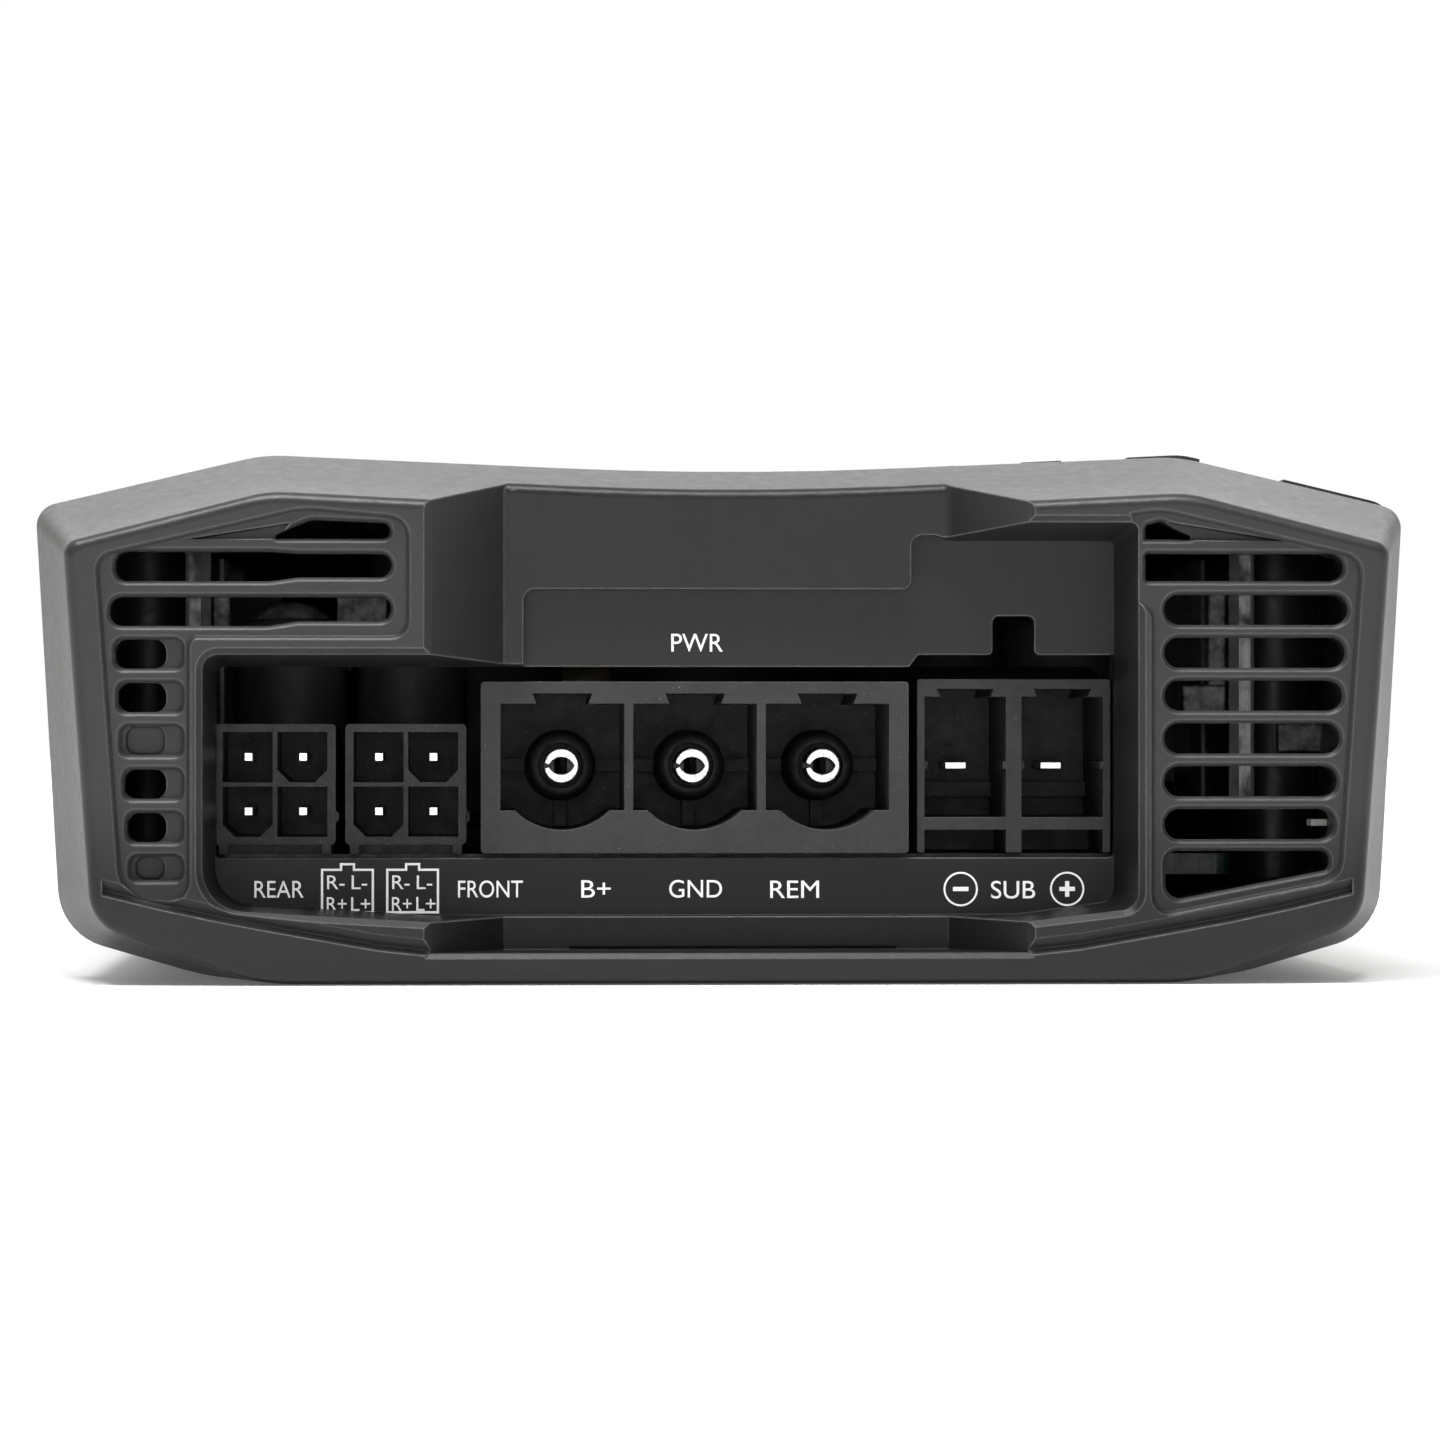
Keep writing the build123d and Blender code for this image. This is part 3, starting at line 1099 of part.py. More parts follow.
with BuildPart() as choke_core:
    with Locations((*CHOKE_PLACE, CHOKE_Z)):
        Torus((CHOKE_R + CHOKE_HOLE_R) / 2, CHOKE_TUBE - 1.2)
save(choke_core.part, "choke_core")

with BuildPart() as choke_winding:
    ring_r = (CHOKE_R + CHOKE_HOLE_R) / 2
    with Locations((*CHOKE_PLACE, CHOKE_Z)):
        with PolarLocations(ring_r, CHOKE_TURNS):
            with Locations(Location((0, 0, 0), (90, 0, 0))):
                Torus(CHOKE_TUBE - 0.55, 0.55)
save(choke_winding.part, "choke_winding")

OUTPUT_INDUCTORS = [(x, 20.0) for x in (-22.0, -7.5, 7.5, 22.0)]

with BuildPart() as output_inductors:
    with BuildSketch(Plane.XY.offset(BOARD_TOP)):
        with Locations(*OUTPUT_INDUCTORS):
            RectangleRounded(12.5, 12.5, 2.2)
    extrude(amount=9.5)
    with BuildSketch(Plane.XY.offset(BOARD_TOP + 9.5)):
        with Locations(*OUTPUT_INDUCTORS):
            Circle(4.4)
    extrude(amount=-0.5, mode=Mode.SUBTRACT)
save(output_inductors.part, "output_inductors")

with BuildPart() as driver_chips:
    with BuildSketch(Plane.XY.offset(BOARD_TOP)):
        with GridLocations(15, 20, 3, 1):
            with Locations((0, 0)):
                RectangleRounded(9, 7, 0.4)
        with Locations((-20, 60), (18, 63), (0, 66)):
            RectangleRounded(7, 11, 0.4)
    extrude(amount=1.5)
    chamfer(faces().sort_by(Axis.Z)[-6:].edges(), length=0.2)
save(driver_chips.part, "driver_chips")

# ---------------------------------------------------------------- control board, input jacks, pots, switches
CONTROL_BOARD_X = (2.2, 39.2)
CONTROL_BOARD_Z = (BOARD_TOP + 0.1, 33.4)

with BuildPart() as control_board:
    outline = box_corners(*CONTROL_BOARD_X, *CONTROL_BOARD_Z, 0.6)
    run_outline(-1, CONTROL_BOARD_DEPTH, CONTROL_BOARD_DEPTH + BOARD_THICKNESS, outline, mode=Mode.ADD)
save(control_board.part, "control_board")

JACK_BLOCK_FRONT = CONTROL_PANEL_BACK + 0.4
JACK_BLOCK_DEPTH = 11.0
JACK_TIP = 1.6
JACK_CORE_R = 3.45
JACK_CONTACT_R = 1.9
JACK_CONTACT_BORE_R = 1.55

with BuildPart() as input_jack_blocks:
    for x in JACK_COLUMNS:
        block = box_corners(x - 6.5, x + 6.5, BOARD_TOP, 34.2, 0.8)
        run_outline(-1, JACK_BLOCK_FRONT, JACK_BLOCK_FRONT + JACK_BLOCK_DEPTH, block, mode=Mode.ADD)
    with BuildSketch(end_plane(-1, JACK_TIP + 0.5)) as cores:
        with Locations(*JACK_PLACES):
            Circle(JACK_CORE_R)
    extrude(cores.sketch, amount=JACK_BLOCK_FRONT - JACK_TIP - 0.5)
    cut_round_hole(-1, 0, JACK_BLOCK_FRONT + 3, JACK_PLACES, JACK_CONTACT_R + 0.02)
save(input_jack_blocks.part, "input_jack_blocks")

with BuildPart() as input_jack_shells:
    with BuildSketch(end_plane(-1, JACK_TIP)) as shells:
        with Locations(*JACK_PLACES):
            Circle(JACK_SHELL_R)
            Circle(JACK_CORE_R + 0.03, mode=Mode.SUBTRACT)
    extrude(shells.sketch, amount=JACK_BLOCK_FRONT - JACK_TIP)
    chamfer(edges().filter_by(GeomType.CIRCLE).group_by(Axis.Y)[-1], length=0.2)
save(input_jack_shells.part, "input_jack_shells")

with BuildPart() as input_jack_contacts:
    with BuildSketch(end_plane(-1, JACK_TIP + 1.2)) as contacts:
        with Locations(*JACK_PLACES):
            Circle(JACK_CONTACT_R)
            Circle(JACK_CONTACT_BORE_R, mode=Mode.SUBTRACT)
    extrude(contacts.sketch, amount=JACK_BLOCK_FRONT + 3 - JACK_TIP - 1.2)
save(input_jack_contacts.part, "input_jack_contacts")

POT_FRONT = CONTROL_BOARD_DEPTH - 6.8
POT_HALF = 4.3
POT_BORE_END = POT_FRONT + 4.0
ROTOR_TIP = CONTROL_PANEL_DEPTH - 1.3

with BuildPart() as control_pot_bodies:
    for x, z in GAIN_PLACES + CROSSOVER_PLACES:
        body = box_corners(x - POT_HALF, x + POT_HALF, z - POT_HALF, z + POT_HALF, 0.5)
        run_outline(-1, POT_FRONT + 1.2, CONTROL_BOARD_DEPTH, body, mode=Mode.ADD)
        with BuildSketch(end_plane(-1, POT_FRONT)) as bush:
            with Locations((x, z)):
                Circle(3.2)
        extrude(bush.sketch, amount=1.4)
    cut_round_hole(-1, POT_FRONT - 1, POT_BORE_END, GAIN_PLACES + CROSSOVER_PLACES, POT_BORE_R)
save(control_pot_bodies.part, "control_pot_bodies")


def pot_rotor(place):
    """Turned shaft with a screwdriver slot and an off-centre mark at its tip."""
    with BuildPart() as rotor:
        with BuildSketch(end_plane(-1, ROTOR_TIP)) as shaft:
            with Locations(place):
                Circle(POT_SHAFT_R)
        extrude(shaft.sketch, amount=POT_BORE_END - 0.1 - ROTOR_TIP)
        chamfer(edges().filter_by(GeomType.CIRCLE).group_by(Axis.Y)[-1], length=0.3)
        x, z = place
        run_outline(-1, ROTOR_TIP, ROTOR_TIP + 1.2, box_corners(x - 0.35, x + 0.35, z - 3, z + 3))
    return rotor.part


for channel, place in zip(("front", "rear", "sub"), GAIN_PLACES):
    save(pot_rotor(place), f"{channel}_gain_rotor")
for channel, place in zip(("front", "rear", "sub"), CROSSOVER_PLACES):
    save(pot_rotor(place), f"{channel}_crossover_rotor")

SWITCH_FRONT = CONTROL_BOARD_DEPTH - 5.6
SWITCH_SLOT_DEPTH = 3.2
SWITCH_TIP = CONTROL_PANEL_DEPTH - 1.0

with BuildPart() as slide_switch_frames:
    for x, z in SWITCH_PLACES:
        frame = box_corners(x - 4.8, x + 4.8, z - 2.2, z + 2.2, 0.3)
        run_outline(-1, SWITCH_FRONT, CONTROL_BOARD_DEPTH, frame, mode=Mode.ADD)
        slot_x = SWITCH_TRAVEL + SWITCH_HALF_WIDTH + 0.15
        slot_z = SWITCH_HALF_HEIGHT + 0.08
        slot = box_corners(x - slot_x, x + slot_x, z - slot_z, z + slot_z)
        run_outline(-1, SWITCH_FRONT, SWITCH_FRONT + SWITCH_SLOT_DEPTH, slot)
save(slide_switch_frames.part, "slide_switch_frames")


def switch_slider(place):
    """Slider whose ribbed tip stands out of the panel's window."""
    x, z = place
    with BuildPart() as slider:
        height = (z - SWITCH_HALF_HEIGHT, z + SWITCH_HALF_HEIGHT)
        stem = box_corners(x - SWITCH_HALF_WIDTH, x + SWITCH_HALF_WIDTH, *height, 0.2)
        run_outline(-1, SWITCH_TIP, SWITCH_FRONT + SWITCH_SLOT_DEPTH - 0.1, stem, mode=Mode.ADD)
        for offset in (-0.6, 0, 0.6):
            rib_gap = box_corners(x + offset - 0.12, x + offset + 0.12, z - 2, z + 2)
            run_outline(-1, SWITCH_TIP, SWITCH_TIP + 0.3, rib_gap)
    return slider.part


for name, place in zip(("front_filter", "rear_filter", "sub_phase"), SWITCH_PLACES):
    save(switch_slider(place), f"{name}_slider")

with BuildPart() as status_light_pipe:
    pipe_tip = CONTROL_PANEL_DEPTH - 0.3
    with BuildSketch(end_plane(-1, pipe_tip)) as pipe:
        with Locations((STATUS_LIGHT_X, GAIN_ROW)):
            Circle(STATUS_LIGHT_R)
    extrude(pipe.sketch, amount=CONTROL_BOARD_DEPTH - 0.05 - pipe_tip)
    fillet(edges().filter_by(GeomType.CIRCLE).group_by(Axis.Y)[-1], radius=0.5)
save(status_light_pipe.part, "status_light_pipe")
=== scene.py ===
"""Car amplifier seen at its connector end: finishes, lettering, studio and camera round the CAD frame."""

import json
import math

import bpy
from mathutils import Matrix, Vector


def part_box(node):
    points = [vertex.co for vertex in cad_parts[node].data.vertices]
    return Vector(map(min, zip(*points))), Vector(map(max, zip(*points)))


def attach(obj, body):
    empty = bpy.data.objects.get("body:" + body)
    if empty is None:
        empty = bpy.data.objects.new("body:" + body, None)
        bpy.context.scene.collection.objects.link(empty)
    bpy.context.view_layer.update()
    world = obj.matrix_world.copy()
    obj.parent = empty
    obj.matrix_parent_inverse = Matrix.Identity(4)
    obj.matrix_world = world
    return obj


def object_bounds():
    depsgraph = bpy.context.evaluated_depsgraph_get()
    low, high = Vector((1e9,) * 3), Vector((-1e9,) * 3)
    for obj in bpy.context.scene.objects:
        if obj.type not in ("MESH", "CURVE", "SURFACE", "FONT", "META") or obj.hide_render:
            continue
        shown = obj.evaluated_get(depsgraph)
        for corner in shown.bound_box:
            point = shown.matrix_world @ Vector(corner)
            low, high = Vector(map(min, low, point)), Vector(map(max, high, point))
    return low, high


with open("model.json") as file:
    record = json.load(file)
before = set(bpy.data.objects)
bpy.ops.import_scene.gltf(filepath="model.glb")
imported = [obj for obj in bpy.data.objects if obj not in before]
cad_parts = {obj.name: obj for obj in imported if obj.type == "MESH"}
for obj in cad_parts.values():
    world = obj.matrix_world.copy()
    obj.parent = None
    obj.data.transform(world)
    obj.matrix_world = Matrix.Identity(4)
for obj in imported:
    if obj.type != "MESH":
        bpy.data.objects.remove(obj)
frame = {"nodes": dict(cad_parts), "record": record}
cad_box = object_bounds()
MM = 0.001

# the two bare ribs that show behind the louvres
RIB_FACE_X = 40.85 * MM
RIB_FACE_HALF_WIDTH = 0.45 * MM
RIB_TOP = 35.0 * MM
body_end_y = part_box("heatsink_body")[1][1]

# ---------------------------------------------------------------- node graphs

# cosine between a surface and its rounded-off normal, on a sharp edge and on the flat
EDGE_COSINE, FLAT_COSINE = 0.86, 0.995


class Graph:
    """A material's node tree with one Principled shader, and short ways to add nodes to it."""

    def __init__(self, name, **constants):
        self.material = bpy.data.materials.new(name)
        self.material.use_nodes = True
        self.tree = self.material.node_tree
        self.shader = self.tree.nodes["Principled BSDF"]
        for socket, value in constants.items():
            self.shader.inputs[socket.replace("_", " ")].default_value = value
        self.place = self.add("ShaderNodeTexCoord").outputs["Object"]

    def add(self, kind, links=None, **settings):
        """A node of that kind; links maps input names or numbers to sockets or values."""
        node = self.tree.nodes.new(kind)
        for key, value in settings.items():
            setattr(node, key, value)
        for key, value in (links or {}).items():
            if isinstance(value, bpy.types.NodeSocket):
                self.tree.links.new(value, node.inputs[key])
            else:
                node.inputs[key].default_value = value
        return node

    def stretched(self, scale):
        """Object coordinates times a scale for each axis."""
        return self.add("ShaderNodeMapping", {"Vector": self.place, "Scale": scale}).outputs[0]

    def noise(self, size, detail=3.0, rough=0.55, stretch=(1, 1, 1)):
        """Noise whose blotches are about size metres across."""
        return self.add(
            "ShaderNodeTexNoise",
            {"Vector": self.stretched(stretch), "Scale": 1 / size, "Detail": detail, "Roughness": rough},
        ).outputs["Fac"]

    def cells(self, size):
        """Distance inside cells of about size metres."""
        return self.add(
            "ShaderNodeTexVoronoi",
            {"Vector": self.place, "Scale": 1 / size},
        ).outputs["Distance"]

    def ranged(self, value, low, high, start=0.3, stop=0.7):
        """value from start..stop, taken to low..high."""
        return self.add(
            "ShaderNodeMapRange",
            {"Value": value, "From Min": start, "From Max": stop, "To Min": low, "To Max": high},
        ).outputs[0]

    def mixed(self, factor, one, other):
        """Colour one turned into colour other by factor."""
        return self.add("ShaderNodeMix", {0: factor, 6: one, 7: other}, data_type="RGBA").outputs[2]

    def math(self, operation, one, other=0.0):
        """Two numbers joined by an operation."""
        return self.add("ShaderNodeMath", {0: one, 1: other}, operation=operation).outputs[0]

    def beside(self, x, row):
        """Distance to the right of the nearest middle in a row given as (first x, pitch)."""
        first_x, pitch = row
        along = self.math("SUBTRACT", x, first_x)
        wrapped = self.add("ShaderNodeMath", {0: along, 1: pitch / 2, 2: -pitch / 2}, operation="WRAP")
        return wrapped.outputs[0]

    def softened(self, radius):
        """Surface normal with edges rounded off by radius metres."""
        return self.add("ShaderNodeBevel", {"Radius": radius}, samples=6).outputs[0]

    def edges(self, rounded):
        """1 along edges, 0 on flats, where rounded is the normal from softened()."""
        flat = self.add("ShaderNodeNewGeometry").outputs["Normal"]
        turned = self.add("ShaderNodeVectorMath", {0: rounded, 1: flat}, operation="DOT_PRODUCT")
        return self.ranged(turned.outputs["Value"], 1, 0, EDGE_COSINE, FLAT_COSINE)

    def open_air(self, reach):
        """1 in the open, less in corners and creases narrower than reach metres."""
        return self.add("ShaderNodeAmbientOcclusion", {"Distance": reach}, samples=6).outputs["AO"]

    def bumped(self, height, depth, normal=None):
        """Surface normal for a height from 0 to 1 that is depth metres high."""
        links = {"Height": height, "Distance": depth, "Strength": 1.0}
        if normal is not None:
            links["Normal"] = normal
        return self.add("ShaderNodeBump", links).outputs[0]

    def finish(self, colour=None, roughness=None, metallic=None, normal=None):
        """Connects what is given to the shader, and returns the material."""
        given = {"Base Color": colour, "Roughness": roughness, "Metallic": metallic, "Normal": normal}
        for socket, value in given.items():
            if value is not None:
                self.tree.links.new(value, self.shader.inputs[socket])
        return self.material


def grey(value, warmth=0.0):
    """A grey, slightly warm or cool."""
    return (value * (1 + warmth), value, value * (1 - warmth), 1.0)


# ---------------------------------------------------------------- finishes

COATING_WARMTH = 0.03


def satin_coating(
    name,
    shade,
    rough=(0.37, 0.42),
    peel=0.8 * MM,
    peel_depth=0.006 * MM,
    sunken=1.0,
    low=1.0,
):
    """Satin powder coating on a casting: orange peel, fine sparkle, and a painted highlight along its
    convex edges.

    sunken is the share of the shade left on surfaces recessed behind either end's nose, and low the share
    left near the floor; both darkenings are painted shade.
    """

    def tint(times):
        """The coating's grey, that many times as pale."""
        return grey(shade * times, COATING_WARMTH)

    g = Graph(name, Specular_IOR_Level=0.5, IOR=1.5)
    blotch = g.noise(9 * MM, detail=4)
    speck = g.noise(0.16 * MM, detail=2)
    colour = g.mixed(g.ranged(blotch, 0, 1), tint(0.93), tint(1.07))
    colour = g.mixed(g.ranged(speck, 0, 0.35, 0.55, 0.75), colour, tint(1.9))
    roughness = g.ranged(g.noise(0.9 * MM), *rough)
    normal = g.softened(0.22 * MM)
    place = g.add("ShaderNodeSeparateXYZ", {0: g.place})
    # painted shade: darker on surfaces recessed behind either end's nose and darker near the floor
    from_end = g.math("SUBTRACT", cad_box[1][1], g.math("ABSOLUTE", place.outputs[1]))
    above_floor = g.math("SUBTRACT", place.outputs[2], cad_box[0][2])
    painted_shade_by_depth = g.ranged(from_end, 1, sunken, 0.8 * MM, 6.0 * MM)
    painted_shade_by_height = g.ranged(above_floor, low, 1, 8.0 * MM, 14.0 * MM)
    share = g.math("MULTIPLY", painted_shade_by_depth, painted_shade_by_height)
    colour = g.mixed(share, grey(0.0), colour)
    open_air = g.open_air(0.7 * MM)
    # painted highlight: convex edges made pale, in patches, where light from above would catch them
    convex = g.math("MULTIPLY", g.edges(normal), g.ranged(open_air, 0, 1, 0.75, 0.95))
    painted_edge_highlight = g.math("MULTIPLY", convex, g.ranged(g.noise(0.5 * MM, detail=4), 0.55, 1, 0.4, 0.7))
    colour = g.mixed(painted_edge_highlight, colour, tint(11))
    # painted shade: darker in creases and narrow corners
    colour = g.mixed(g.ranged(open_air, 0.6, 0, 0.45, 0.85), colour, tint(0.3))
    normal = g.bumped(g.noise(peel, detail=1.5), peel_depth, normal)
    normal = g.bumped(speck, 0.0015 * MM, normal)
    # the painted shade also dims the specular
    g.tree.links.new(g.math("MULTIPLY", share, 0.5), g.shader.inputs["Specular IOR Level"])
    return g.finish(colour, roughness, None, normal)


def moulded_plastic(name, shade, speck_shade=3.0, specks=0.62, collars=None):
    """Glass-filled moulding: matte, with pale specks and a faintly rough skin.

    collars paints shade on a row of round collars, given as ((first x, pitch), z, radius).
    """
    g = Graph(name, Specular_IOR_Level=0.5, IOR=1.5)
    blotch = g.noise(3.5 * MM, detail=4)
    speck = g.noise(0.12 * MM, detail=3, rough=0.7)
    specked = g.ranged(speck, 0, 1, specks, specks + 0.12)
    colour = g.mixed(g.ranged(blotch, 0, 1), grey(shade * 0.85), grey(shade * 1.2))
    colour = g.mixed(specked, colour, grey(shade * speck_shade))
    rounded = g.softened(0.12 * MM)
    # pale burrs along the edges, brightened into a painted highlight; pale dust in the grains
    burr_and_painted_highlight = g.math("MULTIPLY", g.edges(rounded), g.ranged(g.noise(0.18 * MM, detail=3), 0, 1, 0.42, 0.6))
    grains = g.ranged(g.cells(0.55 * MM), 1, 0, 0.07, 0.11)
    dust = g.math("MULTIPLY", grains, g.ranged(g.noise(1.3 * MM), 0, 1, 0.5, 0.6))
    pale = g.math("MAXIMUM", g.math("MULTIPLY", burr_and_painted_highlight, 0.7), dust)
    colour = g.mixed(pale, colour, grey(shade * 6))
    # painted shade: the deep collars round the pins are painted near black
    if collars:
        row, z, radius = collars
        across = g.add("ShaderNodeSeparateXYZ", {0: g.place})
        aside = g.beside(across.outputs[0], row)
        above = g.math("SUBTRACT", across.outputs[2], z)
        square = g.math("ADD", g.math("MULTIPLY", aside, aside), g.math("MULTIPLY", above, above))
        inside = g.math("LESS_THAN", square, radius * radius)
        colour = g.mixed(g.math("MULTIPLY", inside, 0.8), colour, grey(0.004))
    roughness = g.ranged(g.noise(0.8 * MM), 0.5, 0.68)
    normal = g.bumped(speck, 0.004 * MM, rounded)
    return g.finish(colour, roughness, None, normal)


def bare_metal(name, colour, rough=(0.16, 0.3), grain=(1, 1, 1)):
    """Plated or machined metal with drawn or turned grain and slight tarnish."""
    g = Graph(name, Metallic=1.0, Specular_IOR_Level=0.5)
    tarnish = g.noise(1.6 * MM, detail=4)
    dark = tuple(0.78 * c for c in colour[:3]) + (1.0,)
    tint = g.mixed(g.ranged(tarnish, 0, 1, 0.35, 0.8), colour, dark)
    lines = g.noise(0.3 * MM, detail=3, stretch=grain)
    normal = g.bumped(lines, 0.002 * MM, g.softened(0.06 * MM))
    return g.finish(tint, g.ranged(lines, *rough), None, normal)


def split_pins(name, tips_y, row):
    """Tinned pins, bright at their flat tips; inside their slotted mouths, painted shade, black on the left
    and grey on the right.
    """
    g = Graph(name, Specular_IOR_Level=0.5)
    place = g.add("ShaderNodeSeparateXYZ", {0: g.place})
    # painted shade: behind the tips the pins are dull and dark
    mouth_painted_shade = g.ranged(place.outputs[1], 0, 1, tips_y + 0.02 * MM, tips_y + 0.12 * MM)
    # painted light and shade: the right side of each mouth pale, the left side black
    right = g.ranged(g.beside(place.outputs[0], row), 0, 1, -0.05 * MM, 0.1 * MM)
    wear = g.noise(0.25 * MM, detail=3)
    tin = g.mixed(g.ranged(wear, 0, 1, 0.55, 0.75), TIN, grey(0.35))
    inside = g.mixed(right, grey(0.012), g.mixed(g.ranged(wear, 0, 1), grey(0.05, 0.02), grey(0.16, 0.02)))
    colour = g.mixed(mouth_painted_shade, tin, inside)
    metallic = g.math("SUBTRACT", 1.0, mouth_painted_shade)
    normal = g.bumped(wear, 0.003 * MM, g.softened(0.03 * MM))
    return g.finish(colour, g.ranged(wear, 0.2, 0.4), metallic, normal)


def extruded_body(name):
    """Black anodised extrusion with die lines along its length, bare at the ends of the two inner ribs."""
    g = Graph(name, Specular_IOR_Level=0.5, IOR=1.5)
    across = g.add("ShaderNodeSeparateXYZ", {0: g.place})
    from_middle = g.math("ABSOLUTE", across.outputs[0])
    rib_face = {0: from_middle, 1: RIB_FACE_X, 2: RIB_FACE_HALF_WIDTH}
    rib = g.add("ShaderNodeMath", rib_face, operation="COMPARE").outputs[0]
    near_end = g.math("GREATER_THAN", g.math("ABSOLUTE", across.outputs[1]), body_end_y - 0.05 * MM)
    low = g.math("LESS_THAN", across.outputs[2], RIB_TOP)
    bare = g.math("MULTIPLY", g.math("MULTIPLY", rib, near_end), low)
    die_lines = g.noise(0.5 * MM, detail=4, stretch=(1, 0.01, 1))
    saw_lines = g.noise(0.5 * MM, detail=4, stretch=(1, 1, 0.12))
    black = g.mixed(g.ranged(g.noise(14 * MM), 0, 1), grey(0.018, 0.02), grey(0.026, 0.02))
    black = g.mixed(g.ranged(die_lines, 0, 0.4, 0.5, 0.8), black, grey(0.03, 0.02))
    silver = g.mixed(g.ranged(saw_lines, 0, 1), grey(0.1, 0.01), grey(0.42, 0.01))
    smudged = g.ranged(g.noise(3.5 * MM, detail=3), 0, 0.9, 0.45, 0.62)
    silver = g.mixed(smudged, silver, grey(0.015, 0.02))
    colour = g.mixed(bare, black, silver)
    drawn_roughness = g.ranged(die_lines, 0.32, 0.48)
    sawn_roughness = g.ranged(saw_lines, 0.3, 0.5)
    roughness = g.add("ShaderNodeMix", {0: bare, 2: drawn_roughness, 3: sawn_roughness})
    height = g.add("ShaderNodeMix", {0: bare, 2: die_lines, 3: saw_lines})
    normal = g.bumped(height.outputs[0], 0.004 * MM, g.softened(0.12 * MM))
    return g.finish(colour, roughness.outputs[0], bare, normal)


def mottled(name, dark, pale):
    """Dull metal with dark and pale smudges."""
    g = Graph(name, Specular_IOR_Level=0.6, IOR=1.6)
    smudge = g.noise(1.1 * MM, detail=5, rough=0.65)
    fine = g.noise(0.2 * MM, detail=3)
    colour = g.mixed(g.ranged(smudge, 0, 1, 0.4, 0.62), grey(dark, 0.03), grey(pale, 0.03))
    normal = g.bumped(smudge, 0.02 * MM, g.softened(0.1 * MM))
    return g.finish(colour, g.ranged(fine, 0.4, 0.6), None, normal)


def rubber(name):
    """Closed-cell rubber gasket with a matte, slightly pitted skin."""
    g = Graph(name, Specular_IOR_Level=0.3, IOR=1.5)
    pits = g.cells(0.35 * MM)
    colour = g.mixed(g.ranged(g.noise(4 * MM), 0, 1), grey(0.008), grey(0.014))
    return g.finish(colour, g.ranged(pits, 0.7, 0.85, 0, 0.5), None, g.bumped(pits, 0.02 * MM))


def circuit_board(name):
    """Dark solder mask with faint tracks."""
    g = Graph(name, Specular_IOR_Level=0.5, IOR=1.5)
    tracks = g.add(
        "ShaderNodeTexBrick",
        {
            "Vector": g.place,
            "Scale": 1 / (3 * MM),
            "Mortar Size": 0.06,
            "Color1": grey(0.0),
            "Color2": grey(0.25),
            "Mortar": grey(1.0),
        },
    ).outputs["Color"]
    blotch = g.ranged(g.noise(6 * MM), 0, 1)
    mask = g.mixed(blotch, (0.004, 0.012, 0.008, 1), (0.006, 0.02, 0.012, 1))
    colour = g.mixed(tracks, mask, (0.012, 0.04, 0.022, 1))
    normal = g.bumped(tracks, 0.03 * MM)
    return g.finish(colour, g.ranged(g.noise(1.2 * MM), 0.3, 0.45), None, normal)


def wound_tape(name, colour, pitch=0.9 * MM):
    """Wound tape or enamelled wire: bands side by side, glossy and slightly uneven."""
    g = Graph(name, Specular_IOR_Level=0.5, IOR=1.5, Coat_Weight=0.3)
    band = g.add(
        "ShaderNodeTexWave",
        {"Vector": g.place, "Scale": 0.31 / pitch, "Distortion": 0.6, "Detail": 2.0},
        bands_direction="DIAGONAL",
    ).outputs["Fac"]
    dark = tuple(0.55 * c for c in colour[:3]) + (1.0,)
    tint = g.mixed(g.ranged(band, 0, 1, 0.1, 0.9), dark, colour)
    return g.finish(tint, g.ranged(g.noise(1 * MM), 0.25, 0.45), None, g.bumped(band, 0.08 * MM))


def sleeve(name):
    """Shrunk plastic sleeve of a capacitor, dark, with a paler top."""
    g = Graph(name, Specular_IOR_Level=0.4, IOR=1.5)
    normal_z = g.add("ShaderNodeSeparateXYZ", {0: g.add("ShaderNodeTexCoord").outputs["Normal"]}).outputs[2]
    top = g.math("GREATER_THAN", normal_z, 0.8)
    colour = g.mixed(g.ranged(g.noise(5 * MM), 0, 1), grey(0.036, -0.05), grey(0.056, -0.05))
    colour = g.mixed(g.math("MULTIPLY", top, 0.9), colour, grey(0.12, 0.01))
    ripple = g.noise(0.8 * MM, detail=3)
    normal = g.bumped(ripple, 0.01 * MM, g.softened(0.2 * MM))
    return g.finish(colour, g.ranged(ripple, 0.45, 0.65), None, normal)


def matte_mineral(name, shade, warmth=0.0, rough=(0.55, 0.75), grain=0.25 * MM):
    """Moulded mineral or pressed material: ferrite, epoxy or silicone."""
    g = Graph(name, Specular_IOR_Level=0.4, IOR=1.5)
    fine = g.noise(grain, detail=4)
    colour = g.mixed(g.ranged(fine, 0, 1), grey(shade * 0.75, warmth), grey(shade * 1.25, warmth))
    normal = g.bumped(fine, 0.01 * MM, g.softened(0.1 * MM))
    return g.finish(colour, g.ranged(g.noise(1.5 * MM), *rough), None, normal)


def clear_pipe(name):
    """Milky moulded light pipe."""
    g = Graph(name, Specular_IOR_Level=0.5, IOR=1.49, Transmission_Weight=0.5, Subsurface_Weight=0.2)
    flow = g.noise(0.6 * MM, detail=3)
    colour = g.mixed(g.ranged(flow, 0, 1), grey(0.55), grey(0.8))
    return g.finish(colour, g.ranged(flow, 0.15, 0.3), None, g.bumped(flow, 0.004 * MM))


